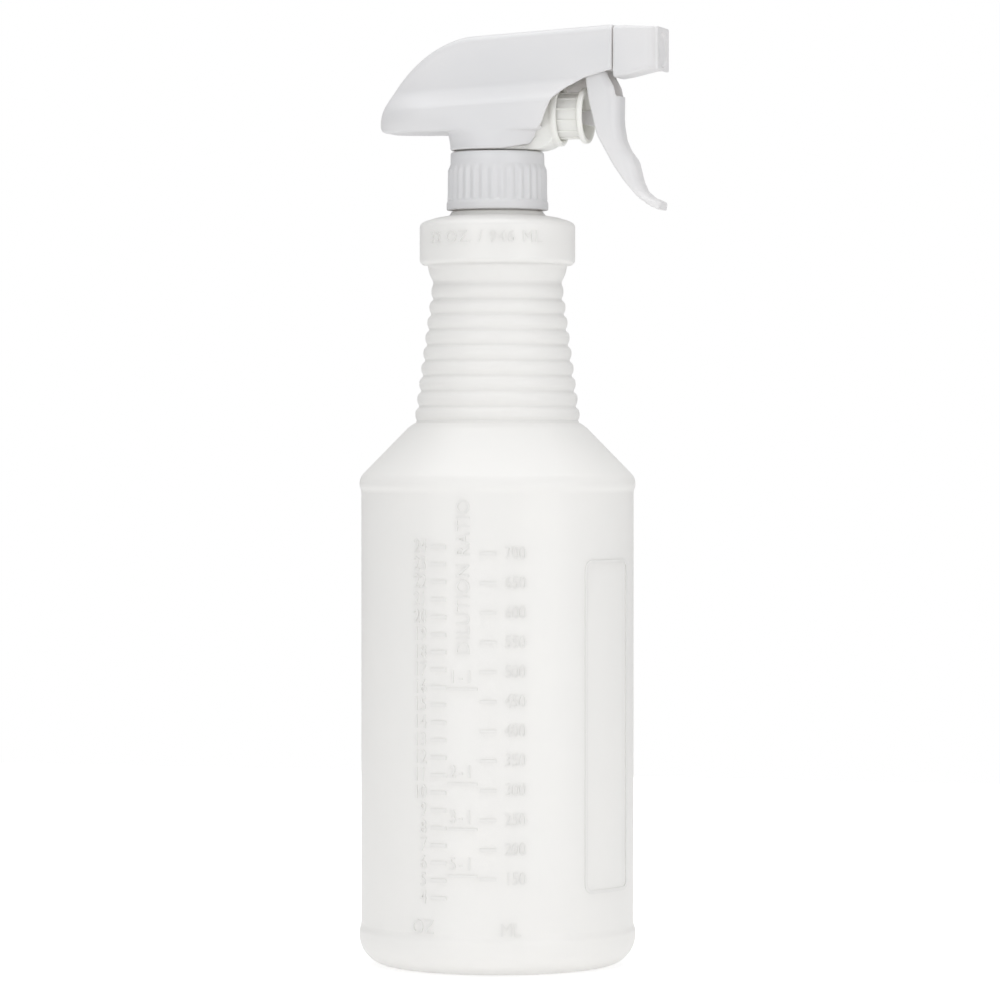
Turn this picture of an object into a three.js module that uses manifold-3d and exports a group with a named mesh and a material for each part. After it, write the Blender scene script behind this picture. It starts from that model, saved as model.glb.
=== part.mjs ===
// A trigger spray bottle: a round blow-moulded bottle with a ringed neck, a hollow
// collar and a 28 mm screw finish, and a trigger sprayer held on it by a fluted closure.
// Millimetres, +Z up. The origin is the centre of the base and the nozzle points to +X.

import * as THREE from 'three';
import { mergeVertices } from 'three/addons/utils/BufferGeometryUtils.js';
import Module from 'manifold-3d';

const wasm = await Module();
wasm.setup();

const TAU = 2 * Math.PI;

// ---------------------------------------------------------------- driving dimensions

const FIT = 0.3; // gap kept between pieces that touch in the real object
const ROUND = 32; // segments around large round pieces
const SMALL_ROUND = 16; // segments around small ones

const BOTTLE = {
  wall: 1.0,
  baseThickness: 1.4,
  baseRadius: 35.5,
  heelTop: 10.1,
  ridgeRadius: 43.7,
  bodyRadius: 43.1,
  bodyBottom: 12.4,
  bodyTop: 150,
  shoulderRidge: 151.8,
  coneBottom: 156.3,
  coneBottomRadius: 41.9,
  coneTop: 170.2,
  coneTopRadius: 27.8,
};

const RINGS = { count: 9, topPeak: 212.7, pitch: 4.84, topRadius: 20.9, taper: 0.132, depth: 0.8 };

const COLLAR = { bottom: 221.1, top: 234.9, radius: 24.6, edge: 1.6, wall: 1.2, crown: 236, crownRadius: 19.4 };

const FINISH = {
  top: 252.9,
  boreRadius: 10.9,
  rootRadius: 12.6,
  crestRadius: 13.7,
  beadBottom: 236.7,
  beadTop: 238.0,
  beadRadius: 15.3,
};

const THREAD = { pitch: 3.175, turns: 1.5, start: 246.2, rootHalf: 0.85, crestHalf: 0.4 };

const CLOSURE = {
  bottom: 238.4,
  top: 256.8,
  panel: 1.0,
  topRadius: 14.8,
  fluteRadius: 15.2,
  rimRadius: 16.1,
  rimTop: 241.2,
  fluteTop: 252.6,
  boreRadius: 14.2,
  crestRadius: 13.05,
  holeRadius: 9.0,
  flutes: 32,
  fluteHeight: 0.5,
};

const STEM = { flangeRadius: 12.6, flangeTop: 255.5, flange: 1.0, radius: 6.2, bottom: 243.6 };
const GASKET = { inner: 9.6, outer: 12.9, thickness: 1.0 };

const PUMP = { z: 267.8, bore: 7.9, radius: 9.1, rear: -11, mouth: 21.7, beadRadius: 9.5, bead: 1.8 };
const DISCHARGE = { z: 287.5, radius: 3.2, bore: 1.9, rear: -9, front: 46.2, riserX: -5, riserRadius: 3.2 };
const PIVOT = { x: 34, z: 285, pin: 1.6, reach: 5.9 };

const PISTON = { front: 30, flange: 1.6, flangeRadius: 8.8, radius: 7.1, ribs: 12, ribHeight: 0.35, rear: 6 };
const SPRING = { radius: 4.7, wire: 0.75, coils: 7 };

const DIP_TUBE = { outer: 2.75, inner: 2.05, top: 247.2, bottom: 4.5 };
const BALL = { inletRadius: 2.3, inletZ: 251.1, outletRadius: 1.5, outletZ: 283.8 };

const SHROUD = {
  wall: 1.4,
  rear: -38.4,
  front: 39.5,
  archEnd: -8,
  archEndZ: 293.1,
  frontTopZ: 295.9,
  tipZ: 266.6,
  underside: 263,
  upperHalf: 8.4,
  lowerHalf: 14.6,
  neckRadius: 14.9,
  neckBottom: 257.2,
};

const TRIGGER = { half: 6.2, wall: 1.7, hub: 3.5 };
const NOZZLE = { rear: 39.8, front: 54.3, socket: 4.5, lip: 3.75, seatDepth: 3.4 };

// ------------------------------------------------------------------------- materials

const plastic = (colour, roughness) => new THREE.MeshStandardMaterial({ color: colour, roughness, metalness: 0 });
const naturalHdpe = () => plastic(0xeeede8, 0.45);
const whitePolypropylene = () => plastic(0xf4f4f5, 0.38);
const paleElastomer = () => plastic(0xe6e4dc, 0.6);
const springSteel = () => new THREE.MeshStandardMaterial({ color: 0xb9bcc0, roughness: 0.3, metalness: 1 });
const glass = () => plastic(0xdfe8ea, 0.1);

// --------------------------------------------------------------------- solid building

function signedVolume(position, corners) {
  const [a, b, c] = [new THREE.Vector3(), new THREE.Vector3(), new THREE.Vector3()];
  let volume = 0;
  for (let i = 0; i < corners.length; i += 3) {
    a.fromBufferAttribute(position, corners[i]);
    b.fromBufferAttribute(position, corners[i + 1]);
    c.fromBufferAttribute(position, corners[i + 2]);
    volume += a.dot(b.cross(c)) / 6;
  }
  return volume;
}

// Welds a geometry's shared vertices and turns its faces outwards.
function solid(geometry) {
  const bare = geometry.clone();
  bare.deleteAttribute('normal');
  bare.deleteAttribute('uv');
  const welded = mergeVertices(bare, 1e-4);
  const index = welded.index.array;
  const corners = [];
  for (let i = 0; i < index.length; i += 3) {
    const [a, b, c] = index.slice(i, i + 3);
    if (a !== b && b !== c && c !== a) corners.push(a, b, c);
  }
  if (signedVolume(welded.attributes.position, corners) < 0) corners.reverse();
  return new wasm.Manifold(
    new wasm.Mesh({
      numProp: 3,
      vertProperties: new Float32Array(welded.attributes.position.array),
      triVerts: new Uint32Array(corners),
    }),
  );
}

const join = (...pieces) => pieces.reduce((whole, piece) => whole.add(piece));
const cut = (whole, ...pieces) => pieces.reduce((left, piece) => left.subtract(piece), whole);

function node(name, body, material) {
  const { vertProperties, triVerts } = body.getMesh();
  const geometry = new THREE.BufferGeometry();
  geometry.setAttribute('position', new THREE.BufferAttribute(new Float32Array(vertProperties), 3));
  geometry.setIndex(new THREE.BufferAttribute(new Uint32Array(triVerts), 1));
  geometry.computeVertexNormals();
  const mesh = new THREE.Mesh(geometry, material);
  mesh.name = name;
  return mesh;
}

// Turns an outline of [radius, height] points about Z. It starts and ends on the axis,
// or it is closed on itself.
function turnZ(outline, segments = ROUND) {
  const points = outline.map(([radius, along]) => new THREE.Vector2(radius, along));
  if (points[0].x > 0) points.push(points[0].clone());
  return solid(new THREE.LatheGeometry(points, segments).rotateX(Math.PI / 2));
}

// The same about a line along X at height z.
function turnX(outline, z, segments = SMALL_ROUND) {
  const points = outline.map(([radius, along]) => new THREE.Vector2(radius, along));
  if (points[0].x > 0) points.push(points[0].clone());
  return solid(new THREE.LatheGeometry(points, segments).rotateZ(-Math.PI / 2).translate(0, 0, z));
}

const rodZ = (radius, z0, z1, x = 0, segments = SMALL_ROUND) =>
  solid(
    new THREE.CylinderGeometry(radius, radius, z1 - z0, segments)
      .rotateX(Math.PI / 2)
      .translate(x, 0, (z0 + z1) / 2),
  );

const rodX = (radius, x0, x1, z, segments = SMALL_ROUND) =>
  solid(
    new THREE.CylinderGeometry(radius, radius, x1 - x0, segments)
      .rotateZ(-Math.PI / 2)
      .translate((x0 + x1) / 2, 0, z),
  );

const rodY = (radius, y0, y1, x, z, segments = SMALL_ROUND) =>
  solid(new THREE.CylinderGeometry(radius, radius, y1 - y0, segments).translate(x, (y0 + y1) / 2, z));

const block = (x0, x1, y0, y1, z0, z1) =>
  solid(
    new THREE.BoxGeometry(x1 - x0, y1 - y0, z1 - z0).translate((x0 + x1) / 2, (y0 + y1) / 2, (z0 + z1) / 2),
  );

// Extrudes a side view, a list of [x, z] points, from y0 to y1.
function plateY(outline, y0, y1) {
  const shape = new THREE.Shape(outline.map(([x, z]) => new THREE.Vector2(x, z)));
  const plate = new THREE.ExtrudeGeometry(shape, { depth: y1 - y0, bevelEnabled: false });
  return solid(plate.rotateX(Math.PI / 2).translate(0, y1, 0));
}

// Joins a row of rings with the same number of corners, and closes both ends.
function loft(rings) {
  const corners = rings[0].length;
  const points = rings.flat();
  const faces = [];
  for (let ring = 0; ring + 1 < rings.length; ring += 1) {
    for (let corner = 0; corner < corners; corner += 1) {
      const a = ring * corners + corner;
      const b = ring * corners + ((corner + 1) % corners);
      faces.push(a, b, b + corners, a, b + corners, a + corners);
    }
  }
  const last = (rings.length - 1) * corners;
  for (let corner = 1; corner + 1 < corners; corner += 1) {
    faces.push(0, corner + 1, corner, last, last + corner, last + corner + 1);
  }
  const geometry = new THREE.BufferGeometry().setFromPoints(points);
  geometry.setIndex(faces);
  return solid(geometry);
}

// ------------------------------------------------------------------------- the bottle

function heel(radius, top, inset) {
  const steps = 5;
  const points = [];
  for (let i = 0; i <= steps; i += 1) {
    const angle = (i / steps) * (Math.PI / 2);
    const across = (radius - BOTTLE.baseRadius) * Math.sin(angle);
    points.push([BOTTLE.baseRadius + across - inset * Math.sin(angle), top - (top - inset) * Math.cos(angle)]);
  }
  return points;
}

const ringPeakRadius = (z) => RINGS.topRadius + RINGS.taper * (RINGS.topPeak - z);

// Round bulges with a groove between them, from the lowest ring to the highest.
function gripRings() {
  const points = [];
  for (let ring = RINGS.count - 1; ring >= 0; ring -= 1) {
    const peak = RINGS.topPeak - ring * RINGS.pitch;
    points.push([ringPeakRadius(peak) - RINGS.depth, peak - RINGS.pitch / 2]);
    points.push([ringPeakRadius(peak), peak - RINGS.pitch / 5]);
    points.push([ringPeakRadius(peak), peak + RINGS.pitch / 5]);
  }
  return points;
}

function bottleOutside() {
  const { edge, radius, bottom, top } = COLLAR;
  return [
    [0, 0],
    ...heel(BOTTLE.ridgeRadius, BOTTLE.heelTop, 0),
    [BOTTLE.bodyRadius, BOTTLE.bodyBottom],
    [BOTTLE.bodyRadius, BOTTLE.bodyTop],
    [BOTTLE.ridgeRadius, BOTTLE.shoulderRidge],
    [BOTTLE.ridgeRadius - 0.4, BOTTLE.shoulderRidge + 2.6],
    [BOTTLE.coneBottomRadius, BOTTLE.coneBottom],
    [BOTTLE.coneTopRadius, BOTTLE.coneTop],
    ...gripRings(),
    [ringPeakRadius(RINGS.topPeak) - RINGS.depth, RINGS.topPeak + RINGS.pitch * 0.6],
    [radius - 2.6, bottom - 2.4],
    [radius - 2.4, bottom],
    [radius - 1, bottom],
    [radius, bottom + 1],
    [radius, top - edge],
    [radius - edge * 0.3, top - edge * 0.3],
    [radius - edge, top],
    [COLLAR.crownRadius, COLLAR.crown],
    [FINISH.beadRadius, FINISH.beadBottom],
    [FINISH.beadRadius - 0.9, FINISH.beadTop],
    [FINISH.rootRadius, FINISH.beadTop],
    [FINISH.rootRadius, FINISH.top],
  ];
}

function bottleInside() {
  const wall = BOTTLE.wall;
  const inner = COLLAR.radius - COLLAR.wall;
  return [
    [FINISH.boreRadius, FINISH.top],
    [FINISH.boreRadius, COLLAR.top - COLLAR.wall],
    [inner - 1, COLLAR.top - COLLAR.wall],
    [inner, COLLAR.top - COLLAR.wall - 1],
    [inner, COLLAR.bottom + COLLAR.wall],
    [inner - 2.6, COLLAR.bottom + COLLAR.wall],
    [ringPeakRadius(RINGS.topPeak) - RINGS.depth - wall, RINGS.topPeak + RINGS.pitch / 2],
    [BOTTLE.coneTopRadius - wall - 1.1, BOTTLE.coneTop + 1],
    [BOTTLE.coneBottomRadius - wall - 0.4, BOTTLE.coneBottom - 0.4],
    [BOTTLE.bodyRadius - wall, BOTTLE.bodyTop],
    [BOTTLE.bodyRadius - wall, BOTTLE.bodyBottom],
    ...heel(BOTTLE.bodyRadius, BOTTLE.heelTop, BOTTLE.baseThickness).reverse(),
    [0, BOTTLE.baseThickness],
  ];
}

// A right-hand thread ridge: a trapezium carried up a helix, fading out at both ends.
function threadRidge({ root, crest, start, turns, from = 0 }) {
  const steps = Math.round(turns * 20);
  const rings = [];
  for (let i = 0; i <= steps; i += 1) {
    const turn = from + (turns * i) / steps;
    const angle = turn * TAU;
    const z = start + turn * THREAD.pitch;
    const fade = Math.min(1, i / 2 + 0.05, (steps - i) / 2 + 0.05);
    const tip = root + (crest - root) * fade;
    const at = (radius, height) => new THREE.Vector3(radius * Math.cos(angle), radius * Math.sin(angle), height);
    rings.push([
      at(root, z - THREAD.rootHalf),
      at(tip, z - THREAD.crestHalf),
      at(tip, z + THREAD.crestHalf),
      at(root, z + THREAD.rootHalf),
    ]);
  }
  return loft(rings);
}

function bottle() {
  const shell = turnZ([...bottleOutside(), ...bottleInside()]);
  const overlap = 0.4; // the ridge is rooted this far inside the finish
  const thread = threadRidge({
    root: FINISH.rootRadius - overlap,
    crest: FINISH.crestRadius,
    start: THREAD.start,
    turns: THREAD.turns,
  });
  return shell.add(thread);
}

// ------------------------------------------------------------------------ the closure

function closureFlutes() {
  const flutes = [];
  const rooted = 0.4;
  for (let i = 0; i < CLOSURE.flutes; i += 1) {
    const flute = new THREE.BoxGeometry(
      rooted + CLOSURE.fluteHeight,
      1.5,
      CLOSURE.fluteTop - CLOSURE.rimTop + 0.5,
    );
    flute.translate(
      CLOSURE.fluteRadius + (CLOSURE.fluteHeight - rooted) / 2,
      0,
      (CLOSURE.fluteTop + CLOSURE.rimTop) / 2,
    );
    flutes.push(solid(flute.rotateZ((i / CLOSURE.flutes) * TAU)));
  }
  return flutes;
}

function closure() {
  const c = CLOSURE;
  const skirt = turnZ([
    [c.boreRadius, c.bottom],
    [c.rimRadius - 0.3, c.bottom],
    [c.rimRadius, c.bottom + 0.4],
    [c.rimRadius, c.rimTop - 0.3],
    [c.fluteRadius, c.rimTop],
    [c.fluteRadius, c.fluteTop],
    [c.topRadius, c.fluteTop + 0.8],
    [c.topRadius, c.top - 0.6],
    [c.topRadius - 0.6, c.top],
    [c.holeRadius, c.top],
    [c.holeRadius, c.top - c.panel],
    [c.boreRadius, c.top - c.panel],
  ]);
  const overlap = 0.4;
  const thread = threadRidge({
    root: c.boreRadius + overlap,
    crest: c.crestRadius,
    start: THREAD.start - THREAD.pitch / 2,
    turns: THREAD.turns,
    from: -0.25,
  });
  return join(skirt, thread, ...closureFlutes());
}

// ------------------------------------------------- parts between the head and the bottle

function closureGasket() {
  const bottom = FINISH.top + FIT;
  return turnZ([
    [GASKET.inner, bottom],
    [GASKET.outer, bottom],
    [GASKET.outer, bottom + GASKET.thickness],
    [GASKET.inner, bottom + GASKET.thickness],
  ]);
}

// The adapter pressed into the stem: a ball seat above and a socket for the dip tube below.
function tubeRetainer() {
  const flangeTop = STEM.bottom - FIT;
  return turnZ(
    [
      [DIP_TUBE.outer + FIT, flangeTop - 1.2],
      [STEM.radius, flangeTop - 1.2],
      [STEM.radius, flangeTop],
      [4.0, flangeTop],
      [4.0, 252.3],
      [2.75, 252.3],
      [2.75, 250.2],
      [1.5, 249.0],
      [1.5, 247.8],
      [DIP_TUBE.outer + FIT, 247.8],
    ],
    SMALL_ROUND,
  );
}

function dipTube() {
  const path = new THREE.CatmullRomCurve3([
    new THREE.Vector3(0, 0, DIP_TUBE.top),
    new THREE.Vector3(0, 0, 236),
    new THREE.Vector3(1.4, 0, 200),
    new THREE.Vector3(4.2, 0, 147),
    new THREE.Vector3(6.6, 0, 80),
    new THREE.Vector3(7.2, 0, DIP_TUBE.bottom),
  ]);
  const section = new THREE.Shape().absarc(0, 0, DIP_TUBE.outer, 0, TAU);
  section.holes.push(new THREE.Path().absarc(0, 0, DIP_TUBE.inner, 0, TAU));
  return solid(new THREE.ExtrudeGeometry(section, { steps: 10, curveSegments: 8, extrudePath: path }));
}

const ball = (radius, x, z) => solid(new THREE.SphereGeometry(radius, 12, 7).translate(x, 0, z));

// -------------------------------------------------------------------- the sprayer body

function stemAndFlange() {
  const flangeBottom = STEM.flangeTop - STEM.flange;
  const plate = CLOSURE.top + FIT;
  return turnZ([
    [0, STEM.bottom],
    [STEM.radius, STEM.bottom],
    [STEM.radius, flangeBottom],
    [STEM.flangeRadius, flangeBottom],
    [STEM.flangeRadius, STEM.flangeTop],
    [CLOSURE.holeRadius - 0.4, STEM.flangeTop],
    [CLOSURE.holeRadius - 0.4, plate],
    [13.1, plate],
    [13.1, plate + 1.5],
    [7, plate + 1.5],
    [7, PUMP.z - 6],
    [0, PUMP.z - 6],
  ]);
}

function pumpHousing() {
  const bead = PUMP.mouth - PUMP.bead;
  return turnX(
    [
      [0, PUMP.rear],
      [PUMP.radius - 2, PUMP.rear],
      [PUMP.radius, PUMP.rear + 2],
      [PUMP.radius, bead],
      [PUMP.beadRadius, bead + 0.4],
      [PUMP.beadRadius, PUMP.mouth - 0.5],
      [PUMP.beadRadius - 0.5, PUMP.mouth],
      [0, PUMP.mouth],
    ],
    PUMP.z,
    ROUND - 8,
  );
}

// The keel under the pump cylinder, rounded up at the front to the mouth.
const pumpKeel = () =>
  plateY(
    [
      [-10, 263],
      [-10, 258.4],
      [12, 257.1],
      [15.2, 257.2],
      [18, 258.2],
      [19.6, 259.8],
      [19.6, 263],
    ],
    -6.5,
    6.5,
  );

function dischargeBarrel() {
  const { z, radius, rear, front } = DISCHARGE;
  return turnX(
    [
      [0, rear],
      [radius, rear],
      [radius, front - 2.6],
      [radius + 0.85, front - 2.2],
      [radius + 0.85, front - 1.6],
      [radius, front - 1],
      [radius, front],
      [0, front],
    ],
    z,
  );
}

function sprayerBody() {
  const d = DISCHARGE;
  const boreBottom = PUMP.z - PUMP.bore;
  const whole = join(
    stemAndFlange(),
    pumpHousing(),
    pumpKeel(),
    rodZ(d.riserRadius, PUMP.z + PUMP.bore + 0.5, d.z, d.riserX),
    dischargeBarrel(),
    block(d.riserX, PUMP.mouth - 0.5, -1, 1, PUMP.z + PUMP.bore + 0.4, d.z - d.bore - 0.4),
    block(PIVOT.x - 2.6, PIVOT.x + 2.6, -4, 4, PIVOT.z - 2.2, d.z - d.bore - 0.4),
    rodY(PIVOT.pin, -PIVOT.reach, PIVOT.reach, PIVOT.x, PIVOT.z),
  );
  return cut(
    whole,
    rodX(PUMP.bore, PUMP.rear + 1.5, PUMP.mouth + 1, PUMP.z, ROUND - 8),
    rodX(d.bore, d.rear - 1, d.front + 1, d.z),
    rodZ(d.bore, BALL.outletZ - BALL.outletRadius + 0.2, d.z, d.riserX),
    rodZ(1.1, PUMP.z + 5, d.z, d.riserX),
    rodZ(4.3, STEM.bottom - 1, 253.4, 0),
    rodZ(1.9, 250, boreBottom + 1, 0),
    block(-3.4, 3.4, -0.7, 0.7, 250, 254.6),
    rodZ(0.7, STEM.flangeTop - STEM.flange - 1, boreBottom + 1, 7.4, 10),
  );
}

// The plug that closes the rear end of the discharge barrel. Its tab stops the outlet ball.
const channelPlug = () =>
  join(
    turnX(
      [
        [0, DISCHARGE.rear - FIT - 1],
        [DISCHARGE.radius - 0.4, DISCHARGE.rear - FIT - 1],
        [DISCHARGE.radius - 0.4, DISCHARGE.rear - FIT],
        [DISCHARGE.bore - 0.25, DISCHARGE.rear - FIT],
        [DISCHARGE.bore - 0.25, DISCHARGE.rear + 1.6],
        [0, DISCHARGE.rear + 1.6],
      ],
      DISCHARGE.z,
      14,
    ),
    block(DISCHARGE.rear + 1, DISCHARGE.riserX + 1.6, -0.5, 0.5, DISCHARGE.z - 1.2, DISCHARGE.z + 0.4),
  );

// ----------------------------------------------------------------- piston, seals, spring

function piston() {
  const p = PISTON;
  const grooveFloor = 6.3;
  const shell = turnX(
    [
      [5.6, p.rear],
      [grooveFloor, p.rear],
      [grooveFloor, p.rear + 3],
      [p.radius, p.rear + 3],
      [p.radius, 14],
      [grooveFloor, 14],
      [grooveFloor, 16.4],
      [p.radius, 16.4],
      [p.radius, p.front - p.flange - 0.6],
      [p.flangeRadius - 0.3, p.front - p.flange],
      [p.flangeRadius, p.front - p.flange + 0.4],
      [p.flangeRadius, p.front - 0.3],
      [p.flangeRadius - 0.4, p.front],
      [7.4, p.front],
      [6.0, p.front - 2],
      [5.8, 24.4],
      [0, 24.4],
      [0, 22.9],
      [5.6, 22.9],
    ].reverse(),
    PUMP.z,
    24,
  );
  const ribs = [];
  for (let i = 0; i < p.ribs; i += 1) {
    const rib = new THREE.BoxGeometry(p.front - p.flange - 16.6, 0.7, 1);
    rib.translate((p.front - p.flange + 16.6) / 2, 0, p.radius + p.ribHeight - 0.5);
    ribs.push(solid(rib.rotateX(((i + 0.5) / p.ribs) * TAU).translate(0, 0, PUMP.z)));
  }
  return join(shell, ...ribs);
}

// A ring round the piston that wipes the bore of the pump cylinder.
const sealRing = (from, to) =>
  turnX(
    [
      [6.3 + FIT, from],
      [PUMP.bore - FIT, from],
      [7.15, (from + to) / 2],
      [PUMP.bore - FIT, to],
      [6.3 + FIT, to],
    ],
    PUMP.z,
    24,
  );

class Helix extends THREE.Curve {
  constructor(radius, x0, x1, z, turns) {
    super();
    Object.assign(this, { radius, x0, x1, z, turns });
  }

  getPoint(t, target = new THREE.Vector3()) {
    const angle = t * this.turns * TAU;
    return target.set(
      this.x0 + (this.x1 - this.x0) * t,
      this.radius * Math.cos(angle),
      this.z + this.radius * Math.sin(angle),
    );
  }
}

function returnSpring() {
  const rear = PUMP.rear + 1.5 + FIT + SPRING.wire / 2;
  const front = 22.9 - FIT - SPRING.wire / 2;
  const wire = new THREE.Shape().absarc(0, 0, SPRING.wire / 2, 0, TAU);
  return solid(
    new THREE.ExtrudeGeometry(wire, {
      steps: SPRING.coils * 11,
      curveSegments: 3,
      extrudePath: new Helix(SPRING.radius, rear, front, PUMP.z, SPRING.coils),
    }),
  );
}

// ------------------------------------------------------------------------- the shroud

const shroudArch = new THREE.CubicBezierCurve(
  new THREE.Vector2(SHROUD.rear, SHROUD.tipZ),
  new THREE.Vector2(SHROUD.rear + 2.8, SHROUD.tipZ + 7.2),
  new THREE.Vector2(-24.2, SHROUD.archEndZ - 2.7),
  new THREE.Vector2(SHROUD.archEnd, SHROUD.archEndZ),
);

const mix = (a, b, t) => a + (b - a) * t;
const ease = (t) => t * t * (3 - 2 * t);
const clamp01 = (t) => Math.min(1, Math.max(0, t));

// Top of the shroud over x: the arch at the rear, then a straight line to the front.
function shroudTop(x) {
  if (x >= SHROUD.archEnd) {
    const along = (x - SHROUD.archEnd) / (SHROUD.front - SHROUD.archEnd);
    return mix(SHROUD.archEndZ, SHROUD.frontTopZ, along);
  }
  let [low, high] = [0, 1];
  for (let i = 0; i < 30; i += 1) {
    const middle = (low + high) / 2;
    if (shroudArch.getPoint(middle).x < x) low = middle;
    else high = middle;
  }
  return shroudArch.getPoint(low).y;
}

// Underside over x: flat, rounded up to the tip at the rear.
function shroudUnderside(x) {
  const radius = SHROUD.tipZ - SHROUD.underside;
  const inside = Math.max(0, SHROUD.rear + radius - x);
  return SHROUD.underside + radius - Math.sqrt(Math.max(0, radius * radius - inside * inside));
}

// Half the width at x and z: narrow above, flared to the widest line, then turned under,
// and drawn in to a round beak at the rear.
function shroudHalfWidth(x, z) {
  const widest = 270.2 + 0.055 * x;
  const bend = 278.2 + 0.05 * x;
  const beakStart = -18;
  const behind = clamp01((beakStart - x) / (beakStart - SHROUD.rear));
  const beak = Math.sqrt(Math.max(0, 1 - behind * behind));
  const upper = SHROUD.upperHalf - 0.045 * Math.max(0, z - bend);
  const flare = ease(clamp01((bend - z) / (bend - widest)));
  const under = clamp01((widest - z) / (widest - SHROUD.underside + 1));
  const turnedUnder = 0.45 * (1 - ease(clamp01((x + 22) / 14)));
  const wide = mix(upper, SHROUD.lowerHalf, flare) * Math.sqrt(1 - turnedUnder * under * under);
  return wide * beak;
}

function shroudSection(x, inset) {
  const outerX = x - inset * 0.9;
  const top = shroudTop(Math.max(SHROUD.rear, outerX)) - inset;
  const bottom = shroudUnderside(Math.max(SHROUD.rear, outerX)) + inset;
  const levels = 9;
  const right = [];
  for (let i = 0; i <= levels; i += 1) {
    const z = mix(bottom, top, 0.5 - 0.5 * Math.cos((i / levels) * Math.PI));
    const edge = 2.6;
    const near = clamp01((edge - (top - z)) / edge);
    const rounding = edge * (1 - Math.sqrt(Math.max(0, 1 - near * near)));
    const half = Math.max(0.3, shroudHalfWidth(outerX, z) - inset - Math.min(rounding, edge));
    right.push(new THREE.Vector3(x, half, z));
  }
  const left = right.map((point) => new THREE.Vector3(point.x, -point.y, point.z)).reverse();
  return [...right, ...left];
}

function shroudHull(inset) {
  const stations = 16;
  const from = SHROUD.rear + (inset ? inset * 1.4 : 0.15);
  const to = SHROUD.front - inset;
  const rings = [];
  for (let i = 0; i <= stations; i += 1) {
    const along = (i / stations) ** 1.8;
    rings.push(shroudSection(mix(from, to, along), inset));
  }
  return loft(rings);
}

// The neck skirt, or its inside when inset by the wall: round at the bottom, and squarer
// and longer at the front higher up, where it runs into the shroud's sides.
function neckSkirt(inset, from, to) {
  const levels = 5;
  const rings = [];
  for (let level = 0; level <= levels; level += 1) {
    const z = mix(from, to, level / levels);
    const rise = ease(clamp01((z - SHROUD.neckBottom - 1) / 8));
    const power = 2 / mix(2, 3.4, rise);
    const side = SHROUD.neckRadius - 0.5 * rise - inset;
    const ring = [];
    for (let i = 0; i < ROUND; i += 1) {
      const [across, along] = [Math.sin((i / ROUND) * TAU), Math.cos((i / ROUND) * TAU)];
      const length = along > 0 ? SHROUD.neckRadius + 3 * rise - inset : SHROUD.neckRadius - inset;
      ring.push(
        new THREE.Vector3(
          length * Math.sign(along) * Math.abs(along) ** power,
          side * Math.sign(across) * Math.abs(across) ** power,
          z,
        ),
      );
    }
    rings.push(ring);
  }
  return loft(rings);
}

function shroud() {
  const s = SHROUD;
  const neck = neckSkirt(0, s.neckBottom, s.underside + 5);
  const frontCut = [
    [4, 250],
    [4.6, 257],
    [13, 258.9],
    [14.8, 261.4],
    [18.6, 264.9],
    [19.6, 268],
    [21.7, 272.6],
    [25.2, 275.9],
    [30.7, 279.2],
    [39.6, 281.7],
    [50, 281.7],
    [50, 250],
  ];
  return cut(
    join(shroudHull(0), neck),
    shroudHull(s.wall),
    neckSkirt(s.wall, s.neckBottom - 1, s.underside + 5.5),
    plateY(frontCut, -20, 20),
    block(7, s.front - 15, -6.9, 6.9, s.neckBottom - 1, s.underside),
    rodX(PUMP.beadRadius + 0.1, 0, s.front - 10, PUMP.z, ROUND - 8),
    rodX(DISCHARGE.radius + 0.4, s.front - 3, s.front + 1, DISCHARGE.z),
    block(s.front - 3, s.front + 1, -DISCHARGE.radius - 0.4, DISCHARGE.radius + 0.4, 278, DISCHARGE.z),
  );
}

// ------------------------------------------------------------------------ the trigger

// Side view of one cheek: up the back edge, round the hub, down the front edge.
function cheekOutline() {
  const hub = [];
  for (let i = 0; i <= 6; i += 1) {
    const angle = Math.PI - (i / 6) * Math.PI;
    hub.push([PIVOT.x + TRIGGER.hub * Math.cos(angle), PIVOT.z + TRIGGER.hub * Math.sin(angle)]);
  }
  return [
    [49.4, 240.2],
    [46.9, 242.4],
    [43.1, 246.9],
    [39.9, 251.4],
    [36.6, 257.2],
    [34.2, 261.6],
    [32.8, 267.5],
    [31.7, 271.9],
    [30.9, 278.3],
    ...hub,
    [37.8, 281.5],
    [39, 279],
    [40.4, 276.4],
    [41.2, 273],
    [41.1, 266.5],
    [41.3, 263.9],
    [42, 259.9],
    [43.4, 256.7],
    [45.3, 254.2],
    [46.2, 253],
    [46.7, 250.5],
    [47.6, 246.9],
    [49, 243.8],
    [50.9, 241.3],
  ];
}

// The web the finger pulls on: the front of the trigger above, its back below, and a lip.
function fingerWeb() {
  const face = [
    [41, 273.5],
    [40.9, 266.5],
    [41.1, 263.9],
    [41.8, 259.9],
    [43.2, 256.7],
    [45.1, 254.2],
    [46, 253],
    [46.5, 250.5],
    [47.4, 246.9],
    [48.8, 243.8],
    [51, 241.9],
    [54.6, 239.9],
  ];
  const back = [
    [54.1, 237.6],
    [50.6, 239.3],
    [47.2, 242.6],
    [44.6, 246.6],
    [43.6, 250.4],
    [42.6, 253.2],
    [41, 256.4],
    [39.6, 259.6],
    [39, 263.5],
    [38.9, 266.5],
    [38.9, 273.5],
  ];
  return plateY([...face, ...back], -TRIGGER.half, TRIGGER.half);
}

// The nose that reaches into the hollow piston and pushes on its floor.
const triggerNose = () =>
  plateY(
    [
      [40.2, 272.5],
      [40.2, 262],
      [33.5, 264],
      [27, 265.4],
      [24.9, 266],
      [24.7, 267],
      [25.6, 268.2],
      [33, 270.2],
    ],
    -1.4,
    1.4,
  );

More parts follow.
